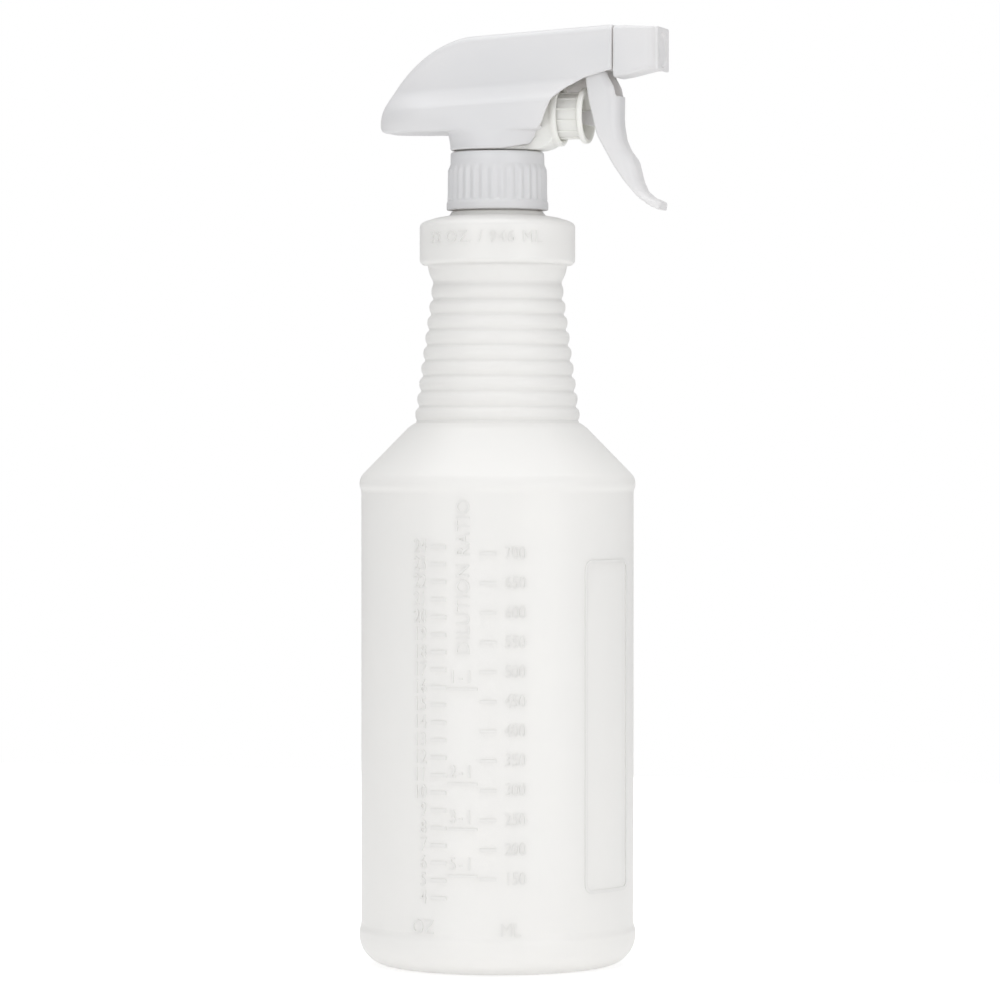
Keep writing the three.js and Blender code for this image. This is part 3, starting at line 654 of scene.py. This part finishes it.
class SPRAY_OT_bottle(bpy.types.Operator):
    """Make the bottle: heel, straight wall, cone, grip rings, collar and threaded finish."""

    bl_idname = "spray.bottle"
    bl_label = "Bottle"

    def execute(self, context):
        sizes = context.scene.spray_bottle
        shell = turned(bottle_outline(sizes), steps=144)
        thread = thread_ridge(12.3, 13.7, 246.2, 1.5)
        finish_piece("bottle_shell", gather(shell, thread), "bottle", "natural_hdpe", ["bottle"])
        return {"FINISHED"}


class SPRAY_OT_scales(bpy.types.Operator):
    """Mould the ounce and millilitre scales, the dilution ratios, the panel and the capacity."""

    bl_idname = "spray.scales"
    bl_label = "Scales and panel"

    def execute(self, context):
        sizes = context.scene.spray_bottle
        tall, radius = sizes.mark_height / MM + 0.1, sizes.body_radius / MM
        ounce, half_decilitre = 5.43, 9.136
        marks = []
        for number in range(4, 25):
            z = 24.3 + (number - 4) * ounce
            marks.append(lettering(str(number), 6.2, -22.9, z, tall, "RIGHT", narrow=0.8))
            marks.append(bar(-21.4, -16.2, z, 1.2, tall))
        for step in range(12):
            z = 30.4 + step * half_decilitre
            marks.append(lettering(str(150 + 50 * step), 5.8, 5.7, z, tall, narrow=0.78))
            marks.append(bar(-5.4, -0.3, z, 1.0, tall))
        for ratio, z in (("1-1", 92.7), ("2-1", 63.4), ("3-1", 49.4), ("5-1", 34.9)):
            marks.append(lettering(ratio, 5.8, -11.4, z, tall, spacing=1.25, narrow=0.85))
            marks.append(bar(-15.6, -6.2, z - 3.6, 0.8, tall))
        marks.append(lettering("DILUTION RATIO", 6.2, -10.6, 123.6, tall, upward=True, spacing=1.05, narrow=0.95))
        marks.append(lettering("OZ", 6.2, -24.4, 15.0, tall, narrow=0.9))
        marks.append(lettering("ML", 5.8, 4.1, 14.6, tall, narrow=0.9))
        marks.append(panel_frame(29.3, 52.6, 24.9, 128.6, 3.0, 1.1, tall))
        scales = wrapped(gather(*marks), radius)
        scales = finish_piece("moulded_scales", scales, "bottle", "natural_hdpe", even_normals=False, crisp=True)
        capacity = lettering("32 OZ. / 946 ML", 5.4, -5.2, 229.2, tall, spacing=1.08)
        capacity = wrapped(capacity, sizes.collar_radius / MM)
        capacity = finish_piece("moulded_capacity", capacity, "bottle", "natural_hdpe", even_normals=False, crisp=True)
        # The raised attribute picks out these pieces for the painted shade that natural_hdpe gives the scales.
        for made in (scales, capacity):
            raised = made.data.attributes.new("raised", "FLOAT", "POINT")
            raised.data.foreach_set("value", [1.0] * len(made.data.vertices))
        return {"FINISHED"}


# ------------------------------------------------------------------ the closure and what it holds


class SPRAY_OT_closure(bpy.types.Operator):
    """Make the fluted screw closure with its internal thread."""

    bl_idname = "spray.closure"
    bl_label = "Closure"

    def execute(self, context):
        sizes = context.scene.spray_closure
        rim, wall = sizes.rim_radius / MM, sizes.wall_radius / MM
        height, flutes = sizes.flute_height / MM, sizes.flutes
        outline = [
            (14.2, 238.4, 0.2),
            (rim, 238.4, 0.4),
            (rim, 240.9, 0.5),
            (wall + 0.1, 241.9, 0.4),
            (wall, 244.0, 0),
            (wall, 246.0, 0),
            (wall, 248.0, 0),
            (wall - 0.05, 250.0, 0),
            (wall - 0.1, 251.4, 0),
            (wall - 0.15, 252.2, 0),
            (14.85, 253.0, 0.3),
            (14.8, 256.8, 0.9),
            (9.0, 256.8, 0.3),
            (9.0, 255.8, 0.2),
            (14.2, 255.8, 0.3),
        ]
        skirt = turned(outline, steps=flutes * 10)
        levels = [edge for edge in skirt.edges if abs(edge.verts[0].co.z - edge.verts[1].co.z) > 1.2]
        outer = [edge for edge in levels if math.hypot(*edge.verts[0].co.xy) > 14.6]
        bmesh.ops.subdivide_edges(skirt, edges=outer, cuts=2, use_grid_fill=True)
        for vert in skirt.verts:
            around, radius = math.atan2(vert.co.y, vert.co.x), math.hypot(vert.co.x, vert.co.y)
            if radius > 14.7 and 241.3 < vert.co.z < 252.9:
                ridge = (0.5 + 0.5 * math.cos(around * flutes)) ** 0.8
                ends = max(0.0, min(1.0, (252.6 - vert.co.z) / 1.6, (vert.co.z - 241.3) / 0.6))
                grown = radius + height * ridge * ends
                vert.co.x, vert.co.y = vert.co.x * grown / radius, vert.co.y * grown / radius
        thread = thread_ridge(14.6, 13.05, 246.2 - 3.175 / 2, 1.5, -0.25)
        finish_piece("fluted_closure", gather(skirt, thread), "closure", "white_pp", ["closure"])
        return {"FINISHED"}


def tube_rings(path, radius, sides):
    """Level rings of one radius along a path of (x, z) points."""
    rings = []
    for x, z in path:
        angles = [FULL_TURN * side / sides for side in range(sides)]
        rings.append([(x + radius * math.cos(angle), radius * math.sin(angle), z) for angle in angles])
    return rings


class SPRAY_OT_dip_tube(bpy.types.Operator):
    """Make the bowed dip tube."""

    bl_idname = "spray.dip_tube"
    bl_label = "Dip tube"

    def execute(self, context):
        bows = [(0.0, 247.2), (0.0, 236.0), (1.4, 200.0), (4.2, 147.0), (6.6, 80.0), (7.2, 4.5)]
        path = []
        for (x0, z0), (x1, z1) in zip(bows, bows[1:]):
            path += [(x0 + (x1 - x0) * part / 4, z0 + (z1 - z0) * part / 4) for part in range(4)]
        path.append(bows[-1])
        tube = carved(
            lofted(tube_rings(path, 2.75, 24)),
            [("DIFFERENCE", lofted(tube_rings([(0.0, 248.0), *path, (7.2, 3.5)], 2.05, 24)))],
        )
        finish_piece("bowed_dip_tube", tube, "sprayer", "natural_hdpe", ["dip_tube"])
        return {"FINISHED"}


# ------------------------------------------------------------------------------------ the sprayer


def eased(share):
    """A share held between 0 and 1, with soft ends."""
    share = max(0.0, min(1.0, share))
    return share * share * (3 - 2 * share)


def shroud_top(x):
    """Height of the shroud over x: an arch at the rear, then a straight line to the front."""
    arch = ((SHROUD_REAR, 266.6), (-35.6, 273.8), (-24.2, 290.4), (-8.0, 293.1))
    if x >= arch[3][0]:
        return 293.1 + (295.9 - 293.1) * (x + 8.0) / 47.5
    low, high = 0.0, 1.0
    for _ in range(30):
        middle = (low + high) / 2
        weights = ((1 - middle) ** 3, 3 * middle * (1 - middle) ** 2, 3 * middle**2 * (1 - middle), middle**3)
        if sum(weight * point[0] for weight, point in zip(weights, arch)) < x:
            low = middle
        else:
            high = middle
    return sum(weight * point[1] for weight, point in zip(weights, arch))


def shroud_underside(x):
    """Height of the shroud's floor, turned up at the rear tip."""
    inside = max(0.0, SHROUD_REAR + 3.6 - x)
    return 266.6 - math.sqrt(max(0.0, 3.6**2 - inside**2))


def shroud_half_width(x, z, sizes):
    """Half width of the shroud: flat sides above, a flare below them, turned under at the floor."""
    widest, bend = 270.2 + 0.055 * x, 278.2 + 0.05 * x
    behind = max(0.0, min(1.0, (-18.0 - x) / (-18.0 - SHROUD_REAR)))
    beak = math.sqrt(max(0.0, 1 - behind * behind))
    upper = sizes.upper_half / MM - 0.045 * max(0.0, z - bend)
    flare = eased((bend - z) / (bend - widest))
    under = max(0.0, min(1.0, (widest - z) / (widest - 262.0)))
    turned_under = 0.45 * (1 - eased((x + 22) / 14))
    wide = upper + (sizes.lower_half / MM - upper) * flare
    return wide * math.sqrt(1 - turned_under * under * under) * beak


def shroud_ring(x, inset, sizes):
    """One upright section of the shroud, shrunk by inset."""
    outer = max(SHROUD_REAR, x - inset * 0.9)
    top, bottom = shroud_top(outer) - inset, shroud_underside(outer) + inset
    side = []
    for level in range(33):
        z = bottom + (top - bottom) * (0.5 - 0.5 * math.cos(level / 32 * math.pi))
        near = max(0.0, min(1.0, (2.6 - (top - z)) / 2.6))
        rounding = 2.6 * (1 - math.sqrt(max(0.0, 1 - near * near)))
        side.append((x, max(0.2, shroud_half_width(outer, z, sizes) - inset - rounding), z))
    return side + [(x, -y, z) for x, y, z in reversed(side)]


def shroud_hull(inset, sizes):
    """The shroud's outside, or its inside when inset by the wall."""
    start, end = SHROUD_REAR + (inset * 1.4 if inset else 0.1), 39.5 - inset
    return lofted([shroud_ring(start + (end - start) * (part / 44) ** 1.8, inset, sizes) for part in range(45)])


def neck_skirt(inset, start, end):
    """The skirt round the neck: round at the bottom, squarer and longer at the front above."""
    rings = []
    for level in range(15):
        z = start + (end - start) * level / 14
        rise = eased((z - 258.2) / 8)
        power = 2 / (2 + 1.4 * rise)
        ring = []
        for part in range(72):
            across, along = math.sin(part / 72 * FULL_TURN), math.cos(part / 72 * FULL_TURN)
            reach = 14.9 - inset + (3 * rise if along > 0 else 0)
            x = math.copysign(reach * abs(along) ** power, along)
            y = math.copysign((14.9 - 0.5 * rise - inset) * abs(across) ** power, across)
            ring.append((x, y, z))
        rings.append(ring)
    return lofted(rings)


class SPRAY_OT_shroud(bpy.types.Operator):
    """Make the shroud with its neck skirt, open floor and cut-away front."""

    bl_idname = "spray.shroud"
    bl_label = "Shroud"

    def execute(self, context):
        sizes = context.scene.spray_sprayer
        wall = sizes.shroud_wall / MM
        front = [
            (4, 250),
            (4.6, 257),
            (13, 258.9),
            (14.8, 261.4),
            (18.6, 264.9),
            (19.6, 268),
            (21.7, 272.6),
            (25.2, 275.9),
            (30.7, 279.2),
            (39.6, 281.7),
            (50, 281.7),
            (50, 250),
        ]
        shroud = carved(
            shroud_hull(0.0, sizes),
            [
                ("UNION", neck_skirt(0.0, 257.2, 268.0)),
                ("DIFFERENCE", shroud_hull(wall, sizes)),
                ("DIFFERENCE", neck_skirt(wall, 256.2, 268.5)),
                ("DIFFERENCE", plate(front, -20, 20, 0.6)),
                ("DIFFERENCE", block((7, -6.9, 256.2), (24.5, 6.9, 263.0))),
                ("DIFFERENCE", rod(9.6, 0, 29.5, "X", (0, 0, PUMP_Z))),
                ("DIFFERENCE", rod(3.6, 36.5, 40.5, "X", (0, 0, BARREL_Z))),
                ("DIFFERENCE", block((36.5, -3.6, 278.0), (40.5, 3.6, BARREL_Z))),
            ],
            0.42,
            7,
        )
        finish_piece("moulded_shroud", shroud, "sprayer", "white_pp", ["shroud"], False)
        return {"FINISHED"}


class SPRAY_OT_pump(bpy.types.Operator):
    """Make the sprayer's body: stem, pump cylinder, keel, riser, discharge barrel and pivots."""

    bl_idname = "spray.pump"
    bl_label = "Sprayer body"

    def execute(self, context):
        bore = context.scene.spray_sprayer.pump_bore / MM
        stem = turned(
            [
                (0, 243.6, 0),
                (6.2, 243.6, 0.3),
                (6.2, 254.5, 0.2),
                (12.6, 254.5, 0.2),
                (12.6, 255.5, 0.2),
                (8.6, 255.5, 0.2),
                (8.6, 257.1, 0.2),
                (13.1, 257.1, 0.2),
                (13.1, 258.6, 0.4),
                (7.0, 258.6, 0.5),
                (7.0, 262.5, 0),
                (0, 262.5, 0),
            ]
        )
        pump = turned(
            [
                (0, -11, 0),
                (9.1, -11, 2.0),
                (9.1, 19.6, 0.3),
                (9.5, 20.1, 0.2),
                (9.5, 21.7, 0.4),
                (0, 21.7, 0),
            ],
            "X",
            PUMP_Z,
        )
        keel = plate(
            [(-10, 263), (-10, 258.4), (12, 257.1), (15.2, 257.2), (18, 258.2), (19.6, 259.8), (19.6, 263)],
            -6.5,
            6.5,
            1.2,
            1.0,
        )
        barrel = turned(
            [
                (0, -9, 0),
                (3.2, -9, 0.2),
                (3.2, 43.6, 0.1),
                (4.05, 44.0, 0.2),
                (4.05, 44.6, 0.2),
                (3.2, 45.2, 0.1),
                (3.2, 46.2, 0.3),
                (0, 46.2, 0),
            ],
            "X",
            BARREL_Z,
        )
        bored = [
            ("DIFFERENCE", rod(bore, -9.5, 22.7, "X", (0, 0, PUMP_Z), 96)),
            ("DIFFERENCE", rod(1.9, -10, 47.2, "X", (0, 0, BARREL_Z))),
            ("DIFFERENCE", rod(1.9, 282.5, BARREL_Z, "Z", (-5, 0, 0))),
            ("DIFFERENCE", rod(1.1, 272.8, BARREL_Z, "Z", (-5, 0, 0))),
            ("DIFFERENCE", rod(4.3, 242.6, 253.4)),
            ("DIFFERENCE", rod(1.9, 250.0, 261.6)),
            ("DIFFERENCE", rod(0.7, 253.5, 261.6, "Z", (7.4, 0, 0), 16)),
        ]
        body = carved(
            stem,
            [
                ("UNION", pump),
                ("UNION", keel),
                ("UNION", rod(3.1, 276.2, BARREL_Z - 0.7, "Z", (-5, 0, 0))),
                ("UNION", barrel),
                ("UNION", block((-5, -1, 276.1), (21.2, 1, 285.2))),
                ("UNION", block((31.4, -4, 282.8), (36.6, 4, 285.2))),
                ("UNION", rod(1.6, -5.9, 5.9, "Y", (34, 0, 285), 32)),
                *bored,
            ],
            0.34,
            3,
        )
        finish_piece("pump_body", body, "sprayer", "white_pp_inner", ["sprayer_body"], False)
        return {"FINISHED"}


class SPRAY_OT_piston(bpy.types.Operator):
    """Make the ribbed, hollow piston."""

    bl_idname = "spray.piston"
    bl_label = "Piston"

    def execute(self, context):
        outline = [
            (5.6, 6.0, 0.1),
            (6.3, 6.0, 0.1),
            (6.3, 9.0, 0.1),
            (7.1, 9.0, 0.2),
            (7.1, 14.0, 0.2),
            (6.3, 14.0, 0.1),
            (6.3, 16.4, 0.1),
            (7.1, 16.4, 0.2),
            (7.1, 27.8, 0.3),
            (8.8, 28.4, 0.35),
            (8.8, 30.0, 0.5),
            (7.4, 30.0, 0.4),
            (6.0, 28.0, 0.5),
            (5.8, 24.4, 0.4),
            (0, 24.4, 0),
            (0, 22.9, 0),
            (5.6, 22.9, 0.4),
        ]
        shapes = [turned(outline, "X", PUMP_Z, 120)]
        for number in range(12):
            rib = block((16.6, -0.35, 6.6), (28.4, 0.35, 7.45))
            long_edges = [edge for edge in rib.edges if min(vert.co.z for vert in edge.verts) > 7.4]
            bmesh.ops.bevel(
                rib, geom=long_edges, offset=0.15, segments=2, profile=0.5, affect="EDGES", material=-1
            )
            turn = Matrix.Rotation((number + 0.5) / 12 * FULL_TURN, 3, "X")
            bmesh.ops.rotate(rib, verts=rib.verts, cent=(0, 0, 0), matrix=turn)
            bmesh.ops.translate(rib, verts=rib.verts, vec=(0, 0, PUMP_Z))
            shapes.append(rib)
        finish_piece("ribbed_piston", gather(*shapes), "piston", "white_pp_inner", ["piston"])
        return {"FINISHED"}


class SPRAY_OT_spring(bpy.types.Operator):
    """Wind the return spring at its resting length; nothing here shortens it as the piston goes in."""

    bl_idname = "spray.spring"
    bl_label = "Return spring"

    def execute(self, context):
        radius, wire, coils = context.scene.spray_sprayer.spring_radius / MM, 0.75, 7
        rear, front = -9.2 + wire / 2, 22.6 - wire / 2
        bm = bmesh.new()
        place = Matrix.Translation((rear, radius, 0))
        bmesh.ops.create_circle(bm, cap_ends=True, segments=12, radius=wire / 2, matrix=place)
        steps = coils * 36
        bmesh.ops.spin(
            bm,
            geom=bm.verts[:] + bm.edges[:] + bm.faces[:],
            cent=(0, 0, 0),
            axis=(1, 0, 0),
            dvec=((front - rear) / steps, 0, 0),
            angle=coils * FULL_TURN,
            steps=steps,
        )
        bmesh.ops.recalc_face_normals(bm, faces=bm.faces)
        bmesh.ops.translate(bm, verts=bm.verts, vec=(0, 0, PUMP_Z))
        spring = finish_piece("wound_spring", bm, "sprayer", "spring_steel", ["return_spring"], False)
        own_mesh(spring)
        return {"FINISHED"}


# Side view of a cheek: up the back edge, over the pivot, down the front edge.
CHEEK = [
    (49.4, 240.2),
    (46.9, 242.4),
    (43.1, 246.9),
    (39.9, 251.4),
    (36.6, 257.2),
    (34.2, 261.6),
    (32.8, 267.5),
    (31.7, 271.9),
    (30.7, 278.3),
    (30.5, 285.0),
    (31.5, 287.5),
    (34.0, 288.5),
    (36.5, 287.5),
    (37.5, 285.0),
    (37.8, 281.5),
    (39.0, 279.0),
    (40.4, 276.4),
    (41.2, 273.0),
    (41.1, 266.5),
    (41.3, 263.9),
    (42.0, 259.9),
    (43.4, 256.7),
    (45.3, 254.2),
    (46.2, 253.0),
    (46.7, 250.5),
    (47.6, 246.9),
    (49.0, 243.8),
    (50.9, 241.3),
]

# The front of the trigger from the top down, which rounds off both cheeks.
FRONT = [
    (38.0, 290.0),
    (38.0, 281.5),
    (39.2, 279.0),
    (40.6, 276.4),
    (41.3, 273.0),
    (41.2, 266.5),
    (41.4, 263.9),
    (42.1, 259.9),
    (43.5, 256.7),
    (45.4, 254.2),
    (46.3, 253.0),
    (46.8, 250.5),
    (47.7, 246.9),
    (49.1, 243.8),
    (51.4, 241.8),
    (55.2, 240.2),
    (55.2, 236.0),
]

# The trigger's web from the top down: front x and z, back x and z, rounding of its front corners.
WEB = [
    ((41.2, 273.6), (39.0, 273.6), 2.0),
    ((41.1, 266.5), (38.9, 266.5), 2.0),
    ((41.3, 263.9), (39.0, 263.5), 2.0),
    ((42.0, 259.9), (39.6, 259.4), 2.0),
    ((43.4, 256.7), (41.0, 255.8), 2.0),
    ((45.3, 254.2), (42.6, 252.6), 2.0),
    ((46.7, 250.5), (43.8, 249.6), 2.0),
    ((47.8, 246.7), (45.2, 245.4), 1.6),
    ((49.6, 243.6), (47.6, 242.0), 1.0),
    ((52.0, 241.9), (50.7, 239.4), 0.6),
    ((54.7, 240.1), (54.1, 237.6), 0.6),
]


def web_ring(front, back, rounding, half):
    """One section of the trigger's web, its front corners rounded."""
    forward, rear = Vector((front[0], 0, front[1])), Vector((back[0], 0, back[1]))
    deep = (forward - rear).length
    into = (rear - forward) / deep
    side = [(half - 0.2, deep), (half, deep - 0.2)]
    for step in range(7):
        angle = math.radians(15 * step)
        side.append((half - rounding * (1 - math.cos(angle)), rounding * (1 - math.sin(angle))))
    ring = [forward + into * depth + Vector((0, across, 0)) for across, depth in side]
    return ring + [Vector((point.x, -point.y, point.z)) for point in reversed(ring)]


class SPRAY_OT_trigger(bpy.types.Operator):
    """Make the trigger: two cheeks, the finger web with its curled lip, and the nose."""

    bl_idname = "spray.trigger"
    bl_label = "Trigger"

    def execute(self, context):
        half = context.scene.spray_sprayer.trigger_half / MM
        nose = plate(
            [(40.2, 272.5), (40.2, 262), (33.5, 264), (27, 265.4), (24.9, 266), (24.7, 267), (25.6, 268.2), (33, 270.2)],
            -1.4,
            1.4,
            0.4,
        )
        trigger = carved(
            plate(CHEEK, -half, -half + 1.7, 0.8),
            [
                ("UNION", plate(CHEEK, half - 1.7, half, 0.8)),
                ("UNION", lofted([web_ring(front, back, size, half) for front, back, size in WEB])),
                ("UNION", nose),
                ("INTERSECT", lofted([web_ring((x, z), (x - 26, z), 4.4, half + 0.05) for x, z in FRONT])),
                ("DIFFERENCE", rod(1.9, -half - 1, half + 1, "Y", (34, 0, 285), 32)),
            ],
            0.24,
            6,
        )
        finish_piece("moulded_trigger", trigger, "trigger", "white_pp", ["trigger"], False)
        return {"FINISHED"}


def nozzle_ring(x, middle, half_width, half_height, corner):
    """One upright section of the nozzle: a square with rounded corners."""
    ring = []
    for quarter, (side, level) in enumerate(((1, 1), (-1, 1), (-1, -1), (1, -1))):
        for step in range(7):
            angle = (quarter + step / 6) * math.pi / 2
            y = side * (half_width - corner) + corner * math.cos(angle)
            ring.append((x, y, middle + level * (half_height - corner) + corner * math.sin(angle)))
    return ring


class SPRAY_OT_nozzle(bpy.types.Operator):
    """Make the square turning nozzle with its round recess and orifice."""

    bl_idname = "spray.nozzle"
    bl_label = "Nozzle"

    def execute(self, context):
        hull = lofted(
            [
                nozzle_ring(39.75, 287.4, 6.95, 8.05, 2.2),
                nozzle_ring(40.3, 287.4, 7.0, 8.1, 2.2),
                nozzle_ring(43.8, 287.7, 6.9, 7.8, 1.6),
                nozzle_ring(51.2, 288.3, 6.5, 6.7, 1.2),
                nozzle_ring(52.6, 288.3, 6.6, 6.7, 0.8),
                nozzle_ring(53.6, 288.1, 6.9, 6.8, 0.7),
                nozzle_ring(54.3, 288.1, 6.9, 6.8, 0.7),
            ]
        )
        socket = turned(
            [(0, 38.8, 0), (3.75, 38.8, 0), (3.75, 41.6, 0.2), (4.5, 42.4, 0.2), (4.5, 49.6, 0), (0, 49.6, 0)],
            "X",
            BARREL_Z,
        )
        recess = turned(
            [
                (0, 48.6, 0),
                (0.5, 48.6, 0),
                (0.5, 51.4, 0),
                (2.6, 52.7, 0.3),
                (5.4, 53.4, 0.4),
                (5.7, 55.3, 0),
                (0, 55.3, 0),
            ],
            "X",
            BARREL_Z + 0.4,
        )
        nozzle = carved(hull, [("DIFFERENCE", socket), ("DIFFERENCE", recess)], 0.18, 3)
        finish_piece("square_nozzle", nozzle, "nozzle", "white_pp", ["nozzle"], False)
        return {"FINISHED"}


class SPRAY_OT_inner_finishes(bpy.types.Operator):
    """Give the small inner pieces that keep their CAD shape their finishes."""

    bl_idname = "spray.inner_finishes"
    bl_label = "Inner finishes"

    kept = {
        "closure_gasket": "seal",
        "piston_seal": "seal",
        "vent_seal": "seal",
        "nozzle_seal": "seal",
        "tube_retainer": "white_pp_inner",
        "channel_plug": "white_pp_inner",
        "spinner": "white_pp_inner",
        "inlet_ball": "glass_ball",
        "discharge_ball": "glass_ball",
    }

    def execute(self, context):
        for node, slot in self.kept.items():
            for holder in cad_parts[node].material_slots:
                holder.material = finish_for(slot)
        return {"FINISHED"}


# -------------------------------------------------------------------------------------- the stage


def soft_light(name, place, target, size, power):
    """A large plain lamp aimed at a point."""
    lamp = bpy.data.lights.new(name, "AREA")
    lamp.shape, lamp.size, lamp.energy = "DISK", size, power
    made = bpy.data.objects.new(name, lamp)
    bpy.context.scene.collection.objects.link(made)
    made.location = place
    made.rotation_euler = (Vector(target) - Vector(place)).to_track_quat("-Z", "Y").to_euler()
    return made


class SPRAY_OT_stage(bpy.types.Operator):
    """Set the camera, the soft studio light and the pale floor."""

    bl_idname = "spray.stage"
    bl_label = "Stage"

    def execute(self, context):
        scene = context.scene
        scene.view_settings.view_transform = "Standard"
        toward = Vector((math.cos(FRONT_ANGLE), math.sin(FRONT_ANGLE), 0))
        rightward = Vector((-toward.y, toward.x, 0))
        lens = bpy.data.cameras.new("camera")
        lens.lens, lens.sensor_width, lens.clip_start = 172.8, 36.0, 0.05
        camera = bpy.data.objects.new("camera", lens)
        scene.collection.objects.link(camera)
        camera.location = toward * 1.52 + rightward * 0.0008 + Vector((0, 0, 0.169))
        aim = rightward * 0.0008 + Vector((0, 0, 0.1468))
        camera.rotation_euler = (aim - camera.location).to_track_quat("-Z", "Y").to_euler()
        scene.camera = camera

        world = Recipe(bpy.data.worlds.new("studio"))
        seen = world.node("ShaderNodeBackground", None, {"Color": (1, 1, 1, 1), "Strength": 1.0}).out()
        lit = world.node("ShaderNodeBackground", None, {"Color": (0.965, 0.98, 1.0, 1), "Strength": 0.58}).out()
        direct = world.node("ShaderNodeLightPath").out("Is Camera Ray")
        scene.world = world.finish(world.node("ShaderNodeMixShader", None, {0: direct, 1: lit, 2: seen}).out())

        soft_light("overhead", (0.0, 0.0, 1.5), (0, 0, 0.1), 1.8, 15.0)
        soft_light("front_left", toward * 1.6 - rightward * 0.9 + Vector((0, 0, 0.5)), (0, 0, 0.15), 1.4, 7.2)
        soft_light("front_right", toward * 1.45 + rightward * 1.2 + Vector((0, 0, 0.3)), (0, 0, 0.15), 1.4, 8.6)
        behind = soft_light("behind", toward * -1.5 + Vector((0, 0, 0.3)), (0, 0, 0.12), 1.6, 6.0)
        behind.visible_glossy = False

        bm = bmesh.new()
        level = Matrix.Translation((0, 0, -0.0002))
        bmesh.ops.create_grid(bm, x_segments=8, y_segments=8, size=0.8, matrix=level)
        mesh = bpy.data.meshes.new("floor")
        bm.to_mesh(mesh)
        bm.free()
        floor = bpy.data.objects.new("floor", mesh)
        scene.collection.objects.link(floor)
        paint = Recipe(bpy.data.materials.new("floor"))
        place = paint.node("ShaderNodeTexCoord").out("Object")
        value = scene.spray_finishes.floor
        tone = paint.tinted(shade(value, 0.99), shade(value, 1.01), paint.noise(place, 6.0))
        inputs = {"Base Color": tone, "Roughness": 0.9, "Emission Color": (1, 1, 1, 1), "Emission Strength": 0.55}
        mesh.materials.append(paint.finish(paint.node("ShaderNodeBsdfPrincipled", None, inputs).out()))
        return {"FINISHED"}


# -------------------------------------------------------------------------------------- the add-on

STEPS = (
    SPRAY_OT_stage,
    SPRAY_OT_bottle,
    SPRAY_OT_scales,
    SPRAY_OT_closure,
    SPRAY_OT_dip_tube,
    SPRAY_OT_shroud,
    SPRAY_OT_pump,
    SPRAY_OT_piston,
    SPRAY_OT_spring,
    SPRAY_OT_trigger,
    SPRAY_OT_nozzle,
    SPRAY_OT_inner_finishes,
)
SETTINGS = {
    "spray_bottle": BottleSizes,
    "spray_closure": ClosureSizes,
    "spray_sprayer": SprayerSizes,
    "spray_finishes": Finishes,
}


class SPRAY_PT_panel(bpy.types.Panel):
    """Sizes, colours and the pieces of the spray bottle."""

    bl_idname = "SPRAY_PT_panel"
    bl_label = "Spray Bottle"
    bl_space_type = "VIEW_3D"
    bl_region_type = "UI"
    bl_category = "Spray Bottle"

    def draw(self, context):
        for setting in SETTINGS:
            group = getattr(context.scene, setting)
            column = self.layout.column(align=True)
            for name in group.__annotations__:
                column.prop(group, name)
        column = self.layout.column()
        for step in STEPS:
            column.operator(step.bl_idname)


def register():
    for kind in (*SETTINGS.values(), *STEPS, SPRAY_PT_panel):
        bpy.utils.register_class(kind)
    for name, kind in SETTINGS.items():
        setattr(bpy.types.Scene, name, PointerProperty(type=kind))


def unregister():
    for name in SETTINGS:
        delattr(bpy.types.Scene, name)
    for kind in reversed((*SETTINGS.values(), *STEPS, SPRAY_PT_panel)):
        bpy.utils.unregister_class(kind)


def main():
    register()
    for step in STEPS:
        group, name = step.bl_idname.split(".")
        getattr(getattr(bpy.ops, group), name)()


if __name__ == "__main__":
    main()
